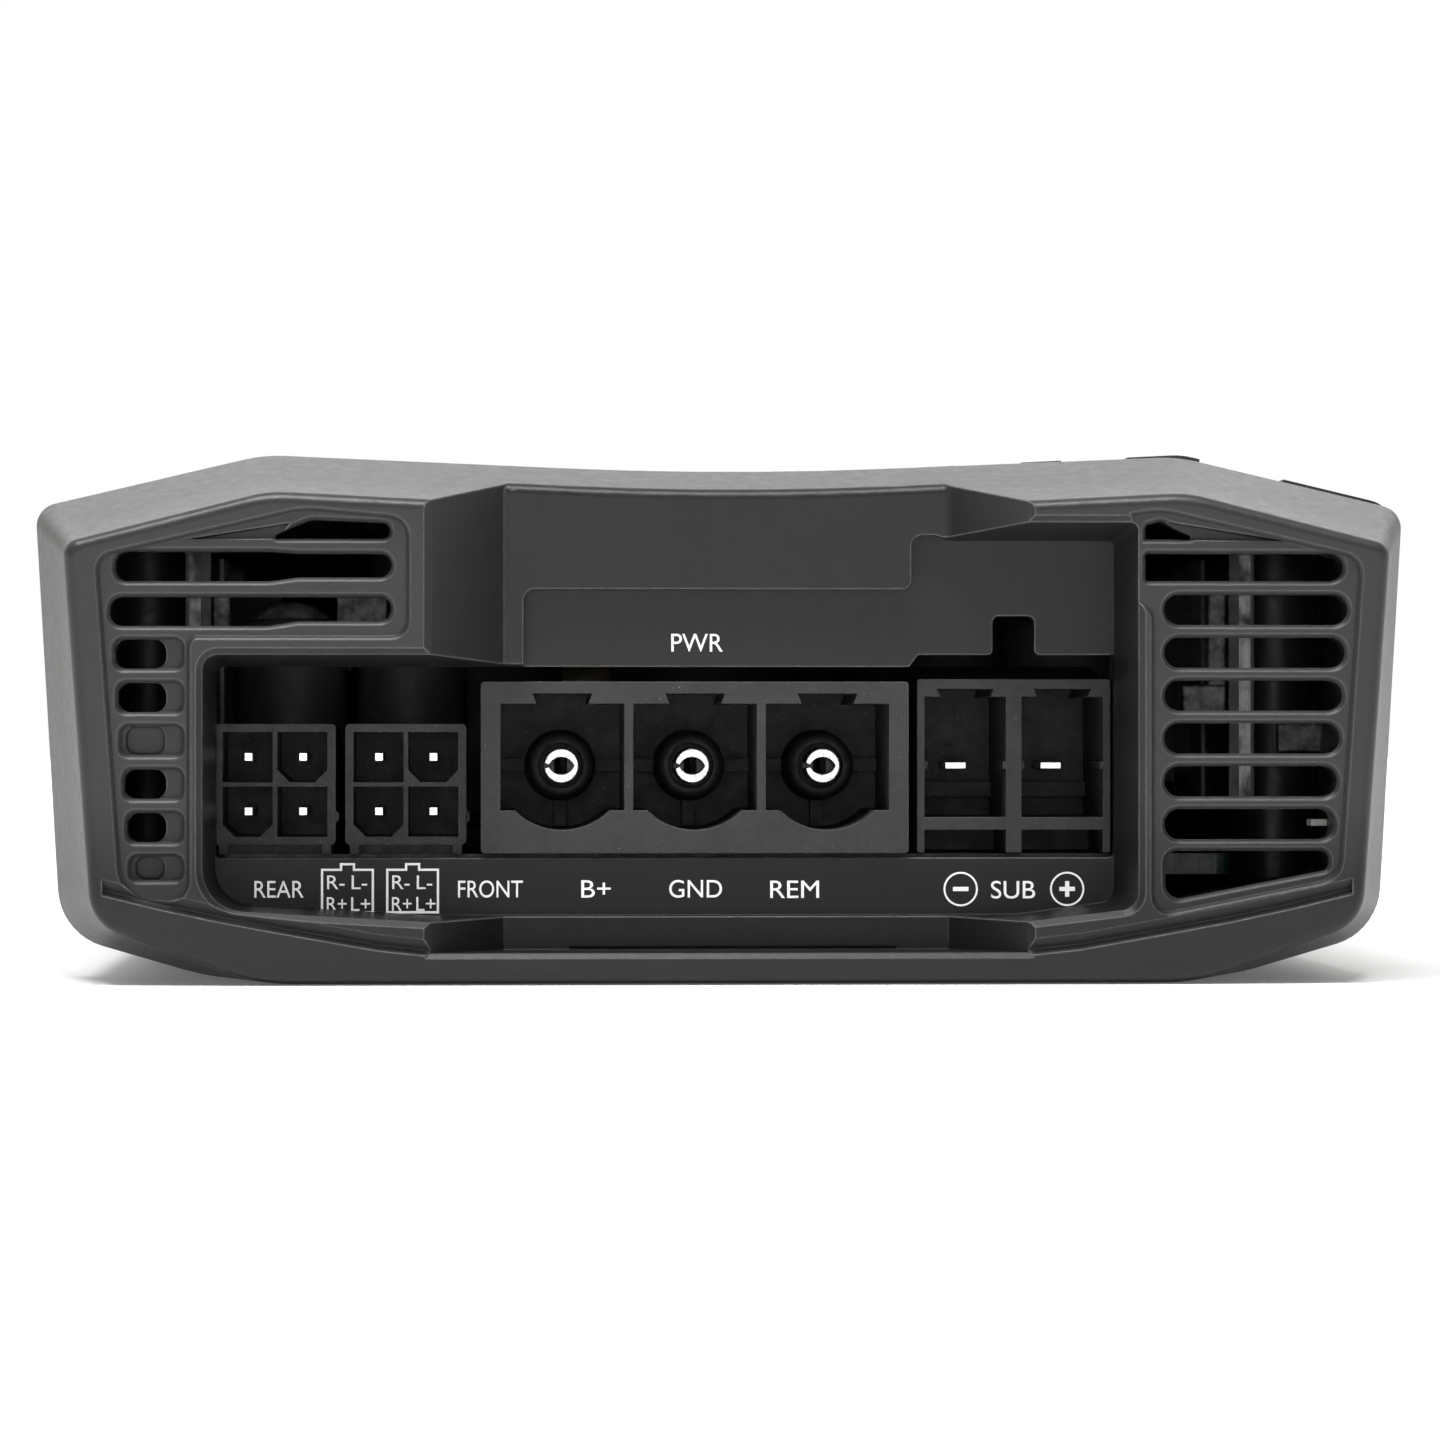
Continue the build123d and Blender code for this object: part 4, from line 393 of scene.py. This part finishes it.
def white_ink(name):
    """Pad-printed ink that glows faintly as painted light, slightly uneven at the edge of each stroke."""
    g = Graph(name, Specular_IOR_Level=0.3, IOR=1.5, Emission_Color=(1, 1, 1, 1), Emission_Strength=0.25)
    speck = g.noise(0.12 * MM, detail=3)
    colour = g.mixed(g.ranged(speck, 0, 1), grey(0.86), grey(0.95))
    return g.finish(colour, g.ranged(speck, 0.5, 0.7), None, g.bumped(speck, 0.004 * MM))


TIN = (0.86, 0.85, 0.83, 1.0)
STEEL = (0.55, 0.55, 0.56, 1.0)
BRASS = (0.78, 0.60, 0.30, 1.0)
GILT = (0.90, 0.68, 0.32, 1.0)

finishes = {
    # sunken and low paint shade on the cap's recesses and its lower front
    "cap_coating": satin_coating("cap_coating_satin", 0.022, peel_depth=0.012 * MM, sunken=0.69, low=0.68),
    "body_coating": extruded_body("body_anodised"),
    "cover_coating": satin_coating(
        "cover_powder", 0.02, rough=(0.45, 0.6), peel=0.45 * MM, peel_depth=0.012 * MM
    ),
    "seal_rubber": rubber("seal_rubber"),
    "connector_plastic": moulded_plastic("connector_glass_filled", 0.024),
    "tinned_contact": bare_metal("tinned_brass", TIN, rough=(0.1, 0.22), grain=(1, 0.1, 1)),
    "board_laminate": circuit_board("board_laminate"),
    "brass_standoff": bare_metal("turned_brass", BRASS, grain=(1, 1, 0.1)),
    "steel_screw": bare_metal("black_screw", (0.10, 0.10, 0.10, 1.0), rough=(0.25, 0.4)),
    "component_epoxy": matte_mineral("component_epoxy", 0.028),
    "thermal_pad": matte_mineral("thermal_pad", 0.22, 0.05, grain=0.15 * MM),
    "clamp_steel": bare_metal("clamp_steel", STEEL, rough=(0.25, 0.42), grain=(1, 0.05, 1)),
    "capacitor_sleeve": sleeve("capacitor_sleeve"),
    "ferrite": matte_mineral("ferrite", 0.03, rough=(0.6, 0.85)),
    "winding_tape": wound_tape("winding_tape", (0.55, 0.38, 0.05, 1.0), 4 * MM),
    "copper_wire": wound_tape("enamelled_copper", (0.50, 0.16, 0.06, 1.0)),
    "gilt_shell": bare_metal("gilt_shell", GILT, rough=(0.12, 0.22)),
    "pot_body": moulded_plastic("pot_body", 0.03),
    "switch_steel": bare_metal("switch_steel", TIN, rough=(0.25, 0.4)),
    "rotor_plastic": moulded_plastic("rotor_plastic", 0.05, specks=0.72),
    "slider_plastic": moulded_plastic("slider_plastic", 0.03, specks=0.72),
    "light_pipe": clear_pipe("light_pipe"),
}
ink = white_ink("white_ink")

# power pins: x of one and their pitch, their height, and the radius of the collars behind them
PIN_ROW = (-2.34 * MM, 10.16 * MM)
PIN_Z = 16.4 * MM
COLLAR_R = 2.8 * MM
# the dark collars on this plastic are painted shade
power_plastic = moulded_plastic("power_header_glass_filled", 0.031, collars=(PIN_ROW, PIN_Z, COLLAR_R))
speaker_plastic = moulded_plastic("speaker_header_glass_filled", 0.03, specks=0.58, speck_shade=4.0)

for part in frame["record"]["subparts"]:
    for place in frame["nodes"][part["node"]].material_slots:
        place.material = finishes[part["material_slot"]]
frame["nodes"]["power_header_housing"].material_slots[0].material = power_plastic
for node in ("rear_speaker_header_housing", "front_speaker_header_housing"):
    frame["nodes"][node].material_slots[0].material = speaker_plastic
pin_tips_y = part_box("power_pins")[0][1]
pin_metal = split_pins("tinned_pins", pin_tips_y, PIN_ROW)
frame["nodes"]["power_pins"].material_slots[0].material = pin_metal

# ---------------------------------------------------------------- printed lettering

PANEL_DEPTH = 8.3 * MM
CONTROL_PANEL_DEPTH = 6.8 * MM
INK_THICKNESS = 0.02 * MM
CAP_SHARE = 0.729  # height of a capital as a share of the type size
nose_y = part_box("connector_end_cap")[0][1]
panel_y = nose_y + PANEL_DEPTH
control_panel_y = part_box("control_end_cap")[1][1] - CONTROL_PANEL_DEPTH


def on_panel(piece, end, x, z):
    """Puts a flat piece on the panel of end 1 (connectors) or end -1 (controls), reading the right way."""
    bpy.context.scene.collection.objects.link(piece)
    piece.rotation_euler = (math.pi / 2, 0, 0 if end == 1 else math.pi)
    piece.location = (x, panel_y if end == 1 else control_panel_y, z)
    piece.data.materials.append(ink)
    bpy.context.view_layer.update()
    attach(piece, "amplifier")


def printed(name, words, x, z, cap_height, width=None, end=1):
    """Words printed on a panel, centred on x, with the middle of the capitals at z."""
    text = bpy.data.curves.new(name, "FONT")
    text.body = words
    text.align_x = "CENTER"
    text.size = cap_height / CAP_SHARE
    text.extrude = INK_THICKNESS
    label = bpy.data.objects.new(name, text)
    if width:
        bpy.context.scene.collection.objects.link(label)
        bpy.context.view_layer.update()
        label.scale.x = width / label.dimensions.x
        bpy.context.scene.collection.objects.unlink(label)
    on_panel(label, end, x, z - cap_height / 2)


def solid_from_outlines(name, outlines):
    """Mesh of flat bands, each given as an outer and an inner closed outline, or one outline and None."""
    vertices, faces = [], []
    for outer, inner in outlines:
        count = len(outer)
        start = len(vertices)
        rings = [outer, inner] if inner else [outer]
        for height in (-INK_THICKNESS, INK_THICKNESS):
            for ring in rings:
                vertices += [(x, y, height) for x, y in ring]
        layer = count * len(rings)
        for i in range(count):
            j = (i + 1) % count
            faces.append((start + i, start + j, start + layer + j, start + layer + i))
            if inner:
                k, m = start + count + i, start + count + j
                faces.append((k, k + layer, m + layer, m))
                faces.append((start + layer + i, start + layer + j, m + layer, k + layer))
                faces.append((start + i, k, m, start + j))
        if not inner:
            faces.append(tuple(start + layer + i for i in range(count)))
            faces.append(tuple(start + i for i in reversed(range(count))))
    mesh = bpy.data.meshes.new(name)
    mesh.from_pydata(vertices, [], faces)
    return bpy.data.objects.new(name, mesh)


def circle(radius, count):
    """Points round a circle."""
    angles = [2 * math.pi * i / count for i in range(count)]
    return [(radius * math.cos(angle), radius * math.sin(angle)) for angle in angles]


def cross(reach, half, arms):
    """Outline of a plus sign, or of a minus sign with two arms."""
    if arms == 2:
        return [(-reach, -half), (reach, -half), (reach, half), (-reach, half)]
    quarter = [(half, half), (reach, half), (reach, -half), (half, -half), (half, -reach), (-half, -reach)]
    return [(x, y) for x, y in quarter] + [(-x, -y) for x, y in quarter]


def tabbed_box(half_width, low, high, tab_half, tab_high, inset=0.0):
    """Outline of a plug seen from its face: a box with a tab on top."""
    left, right, bottom, top = -half_width + inset, half_width - inset, low + inset, high - inset
    tab = tab_half - inset
    tab_top = tab_high - inset
    box = [(left, top), (left, bottom), (right, bottom), (right, top)]
    return box[1:] + [(tab, top), (tab, tab_top), (-tab, tab_top), (-tab, top)] + box[:1]


LABEL_ROW = 7.1 * MM
STROKE = 0.17 * MM
# name, words, middle x, middle z, height of capitals and width, in millimetres
connector_labels = [
    ("pwr", "PWR", -2.25, 25.91, 1.45, 3.95),
    ("rear", "REAR", -34.2, 7.05, 1.36, 3.75),
    ("front", "FRONT", -18.05, 7.05, 1.36, 4.95),
    ("positive", "B+", -9.95, 7.05, 1.42, 2.25),
    ("ground", "GND", -2.3, 7.05, 1.42, 4.05),
    ("remote", "REM", 5.3, 7.0, 1.42, 3.75),
    ("sub", "SUB", 22.1, 6.95, 1.42, 3.4),
]
for name, words, x, z, cap_height, width in connector_labels:
    printed("label_" + name, words, x * MM, z * MM, cap_height * MM, width * MM)

# words, middle x and middle z from the mark's own middle, and width, in millimetres
PLUG_MARK_WORDS = [
    ("R-", -0.92, 0.47, 1.33),
    ("L-", 0.88, 0.47, 1.18),
    ("R+", -0.84, -1.19, 1.5),
    ("L+", 1.0, -1.19, 1.46),
]
PLUG_MARK_CAPS = 1.12 * MM
PLUG_MARK_SIZES = (2.02 * MM, -1.95 * MM, 1.47 * MM, 0.58 * MM, 1.9 * MM)
for name, x in (("rear", -28.92 * MM), ("front", -23.95 * MM)):
    outer, inner = tabbed_box(*PLUG_MARK_SIZES), tabbed_box(*PLUG_MARK_SIZES, inset=STROKE)
    plug = solid_from_outlines(f"plug_mark_{name}", [(outer, inner)])
    on_panel(plug, 1, x, LABEL_ROW)
    for words, dx, dz, width in PLUG_MARK_WORDS:
        side = words[0].lower() + ("_plus" if words[1] == "+" else "_minus")
        place = (x + dx * MM, LABEL_ROW + dz * MM)
        printed(f"plug_mark_{name}_{side}", words, *place, PLUG_MARK_CAPS, width * MM)

POLARITY_ROW = 6.96 * MM
POLARITY_R = 1.32 * MM
POLARITY_STROKE = 0.14 * MM
SIGN_REACH, SIGN_HALF_WIDTH = 0.6 * MM, 0.16 * MM
for name, x, arms in (("minus", 18.08 * MM, 2), ("plus", 26.29 * MM, 4)):
    rim = (circle(POLARITY_R, 48), circle(POLARITY_R - POLARITY_STROKE, 48))
    mark = solid_from_outlines(f"polarity_{name}", [rim, (cross(SIGN_REACH, SIGN_HALF_WIDTH, arms), None)])
    on_panel(mark, 1, x, POLARITY_ROW)

# control end: headings, inputs, dial ticks and switch positions
control_columns = (("front", 13.0 * MM), ("rear", 23.5 * MM), ("sub", 34.0 * MM))
HEADING_ROW, GAIN_ROW, CROSSOVER_ROW, SWITCH_ROW = 32.75 * MM, 28.6 * MM, 19.6 * MM, 12.4 * MM
HEADING_CAPS, DIAL_CAPS, SWITCH_CAPS, JACK_CAPS = 0.95 * MM, 0.8 * MM, 0.85 * MM, 1.1 * MM
DIAL_DROP, SWITCH_DROP = 4.05 * MM, 2.6 * MM  # from a control's middle down to its caption
input_columns = (("rear", -32.2 * MM), ("front", -18.7 * MM), ("sub", -5.2 * MM))
INPUT_ROW, LEFT_JACK_ROW, RIGHT_JACK_ROW = 22.2 * MM, 28.6 * MM, 15.8 * MM
JACK_LABEL_X = -25.45 * MM
LIGHT_CAPTION_X, LIGHT_CAPTION_ROW = 4.6 * MM, 24.9 * MM
TICK_COUNT = 11
TICK_FIRST, TICK_STEP = 240, 30  # degrees
TICK_HALF_WIDTH = 0.07 * MM
TICK_INNER_R, TICK_OUTER_R, LONG_TICK_OUTER_R = 2.55 * MM, 3.1 * MM, 3.35 * MM
for name, x in control_columns:
    printed(f"heading_{name}", name.upper(), x, HEADING_ROW, HEADING_CAPS, end=-1)
    for row_name, words, row in (("gain", "GAIN", GAIN_ROW), ("crossover", "50 Hz 500", CROSSOVER_ROW)):
        printed(f"{row_name}_{name}", words, x, row - DIAL_DROP, DIAL_CAPS, end=-1)
        ticks = []
        for i in range(TICK_COUNT):
            angle = math.radians(TICK_FIRST - TICK_STEP * i)
            along = (math.cos(angle), math.sin(angle))
            aside = (-along[1] * TICK_HALF_WIDTH, along[0] * TICK_HALF_WIDTH)
            outer_r = TICK_OUTER_R if i % 5 else LONG_TICK_OUTER_R
            ends = [(TICK_INNER_R, -1), (outer_r, -1), (outer_r, 1), (TICK_INNER_R, 1)]
            tick = [(r * along[0] + s * aside[0], r * along[1] + s * aside[1]) for r, s in ends]
            ticks.append((tick, None))
        on_panel(solid_from_outlines(f"{row_name}_ticks_{name}", ticks), -1, x, row)
    words = "0  180" if name == "sub" else "HP  LP"
    printed(f"switch_{name}", words, x, SWITCH_ROW - SWITCH_DROP, SWITCH_CAPS, end=-1)
for name, x in input_columns:
    printed(f"input_{name}", name.upper() + " IN", x, INPUT_ROW, HEADING_CAPS, end=-1)
printed("input_left", "L", JACK_LABEL_X, LEFT_JACK_ROW, JACK_CAPS, end=-1)
printed("input_right", "R", JACK_LABEL_X, RIGHT_JACK_ROW, JACK_CAPS, end=-1)
printed("light_caption", "ON", LIGHT_CAPTION_X, LIGHT_CAPTION_ROW, SWITCH_CAPS, end=-1)

# ---------------------------------------------------------------- small parts behind the louvres


def inside_piece(name, vertices, faces, centre, finish):
    """Mesh of a small part that stays with the amplifier's body."""
    mesh = bpy.data.meshes.new(name)
    mesh.from_pydata(vertices, [], faces)
    mesh.materials.append(finish)
    piece = bpy.data.objects.new(name, mesh)
    bpy.context.scene.collection.objects.link(piece)
    piece.location = centre
    bpy.context.view_layer.update()
    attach(piece, "amplifier")
    return piece


def rounded_block(name, centre, size, radius, finish):
    """A block with rounded edges; centre and size in millimetres."""
    half = [value * MM / 2 for value in size]
    sides = ((-1, -1), (1, -1), (1, 1), (-1, 1))
    corners = [(x * half[0], y * half[1], z * half[2]) for z in (-1, 1) for x, y in sides]
    faces = [(3, 2, 1, 0), (4, 5, 6, 7), (0, 1, 5, 4), (1, 2, 6, 5), (2, 3, 7, 6), (3, 0, 4, 7)]
    block = inside_piece(name, corners, faces, [value * MM for value in centre], finish)
    rounding = block.modifiers.new("rounding", "BEVEL")
    rounding.width = radius * MM
    rounding.segments = 3


def turned_lid(name, centre, profile, finish, count=64):
    """A round lid turned from (radius, height) points in millimetres, from its middle outwards and down."""
    vertices = [(0, 0, profile[0][1] * MM)]
    for radius, height in profile[1:]:
        for x, y in circle(radius * MM, count):
            vertices.append((x, y, height * MM))
    faces = [(0, 1 + i, 1 + (i + 1) % count) for i in range(count)]
    for ring in range(len(profile) - 2):
        start = 1 + ring * count
        for i in range(count):
            j = (i + 1) % count
            faces.append((start + i, start + count + i, start + count + j, start + j))
    faces.append(tuple(1 + (len(profile) - 2) * count + i for i in reversed(range(count))))
    lid = inside_piece(name, vertices, faces, [value * MM for value in centre], finish)
    for face in lid.data.polygons:
        face.use_smooth = len(face.vertices) <= 4


lug_metal = mottled("earth_lug_tin", 0.75, 0.9)
clip_metal = mottled("spring_clip_steel", 0.03, 0.22)
lid_metal = mottled("can_lid_aluminium", 0.2, 0.5)
rounded_block("earth_lug", (45.3, -94.0, 12.1), (1.4, 2.0, 0.52), 0.08, lug_metal)
rounded_block("right_spring_clip", (38.85, -83.6, 26.0), (1.4, 2.2, 8.6), 0.2, clip_metal)
rounded_block("right_spring_clip_foot", (37.8, -83.8, 21.4), (3.4, 2.4, 2.6), 0.2, clip_metal)
rounded_block("left_spring_clip", (-38.9, -83.6, 28.4), (1.3, 2.2, 4.4), 0.2, clip_metal)
rounded_block("left_shield_tab", (-28.0, -83.6, 28.4), (3.9, 0.8, 2.4), 0.15, clip_metal)
rounded_block("right_shield_tab", (45.3, -85.0, 18.6), (3.6, 1.2, 2.2), 0.2, clip_metal)
LID_PROFILE = [(0, 1.55), (0.8, 1.48), (1.6, 1.25), (2.4, 0.85), (3.0, 0.35), (3.2, 0.05), (3.2, -0.2)]
turned_lid("left_can_lid", (-34.0, -69.8, 27.95), LID_PROFILE, lid_metal)

# ---------------------------------------------------------------- studio


def flat_sheet(name, reach, z):
    """A level square at height z, reaching that far to each side of the middle."""
    mesh = bpy.data.meshes.new(name)
    corners = [(-reach, -reach, z), (reach, -reach, z), (reach, reach, z), (-reach, reach, z)]
    mesh.from_pydata(corners, [], [(0, 1, 2, 3)])
    sheet = bpy.data.objects.new(name, mesh)
    bpy.context.scene.collection.objects.link(sheet)
    return sheet


FLOOR_REACH = 4
floor = flat_sheet("studio_floor", FLOOR_REACH, cad_box[0][2])

# the floor glows faintly near the object and more further off, where the lights don't reach
NEAR_GLOW, FAR_GLOW = 0.1, 1.0
GLOW_START, GLOW_END = 0.5, 1.6
paint = Graph("floor_paint", Specular_IOR_Level=0.2, Emission_Color=(1, 1, 1, 1))
from_middle = paint.add("ShaderNodeVectorMath", {0: paint.place}, operation="LENGTH").outputs["Value"]
glow = paint.ranged(from_middle, NEAR_GLOW, FAR_GLOW, GLOW_START, GLOW_END)
paint.tree.links.new(glow, paint.shader.inputs["Emission Strength"])
paint_colour = paint.mixed(paint.noise(0.4), grey(0.93), grey(0.97))
floor.data.materials.append(paint.finish(paint_colour, paint.ranged(paint.noise(0.2), 0.7, 0.8)))

TENT_TINT = (1.0, 0.992, 0.97, 1.0)
TENT_FRONT = 0.22
TENT_BACK = 0.97


def light_tent():
    """White surroundings, dimmer at the connector end of the object; the backdrop itself is plain white."""
    world = bpy.data.worlds.new("light_tent")
    bpy.context.scene.world = world
    world.use_nodes = True
    tree = world.node_tree
    lit = tree.nodes["Background"]
    direction = tree.nodes.new("ShaderNodeTexCoord")
    split = tree.nodes.new("ShaderNodeSeparateXYZ")
    strength = tree.nodes.new("ShaderNodeMapRange")
    plain = tree.nodes.new("ShaderNodeBackground")
    seen = tree.nodes.new("ShaderNodeLightPath")
    choice = tree.nodes.new("ShaderNodeMixShader")
    lit.inputs["Color"].default_value = TENT_TINT
    spread = {"From Min": -0.6, "From Max": 0.6, "To Min": TENT_FRONT, "To Max": TENT_BACK}
    for socket, value in spread.items():
        strength.inputs[socket].default_value = value
    plain.inputs["Color"].default_value = (1, 1, 1, 1)
    links = [
        (direction.outputs["Generated"], split.inputs[0]),
        (split.outputs["Y"], strength.inputs["Value"]),
        (strength.outputs[0], lit.inputs["Strength"]),
        (seen.outputs["Is Camera Ray"], choice.inputs[0]),
        (lit.outputs[0], choice.inputs[1]),
        (plain.outputs[0], choice.inputs[2]),
        (choice.outputs[0], tree.nodes["World Output"].inputs["Surface"]),
    ]
    for source, target in links:
        tree.links.new(source, target)


light_tent()


def softbox(name, place, target, size, watts):
    """A rectangular area light at place that faces target; size in metres."""
    light = bpy.data.lights.new(name, "AREA")
    light.shape = "RECTANGLE"
    light.size, light.size_y = size
    light.energy = watts
    lamp = bpy.data.objects.new(name, light)
    bpy.context.scene.collection.objects.link(lamp)
    lamp.location = place
    lamp.rotation_euler = (Vector(target) - Vector(place)).to_track_quat("-Z", "Y").to_euler()


softbox("high_back_softbox", (0, 1.5, 0.85), (0, -0.05, 0.03), (1.8, 0.9), 7)
softbox("top_softbox", (-0.1, -0.4, 0.9), (0, -0.1, 0.02), (0.6, 0.25), 9.8)
softbox("front_fill", (-0.11, -3.2, 0.285), (0, -0.1, 0.02), (1.1, 0.66), 5.65)

# ---------------------------------------------------------------- camera

CAMERA_PLACE = (-18.34 * MM, nose_y - 399.3 * MM, 18.7 * MM)
CAMERA_YAW = 2.517  # degrees
CAMERA_PITCH = 0.174
CAMERA_LENS = 133.05

camera_data = bpy.data.cameras.new("camera")
camera_data.lens = CAMERA_LENS
camera_data.clip_start = 0.01
camera = bpy.data.objects.new("camera", camera_data)
bpy.context.scene.collection.objects.link(camera)
camera.location = CAMERA_PLACE
camera.rotation_euler = (math.radians(90 + CAMERA_PITCH), 0, math.radians(-CAMERA_YAW))
bpy.context.scene.camera = camera

bpy.context.scene.view_settings.view_transform = "Standard"
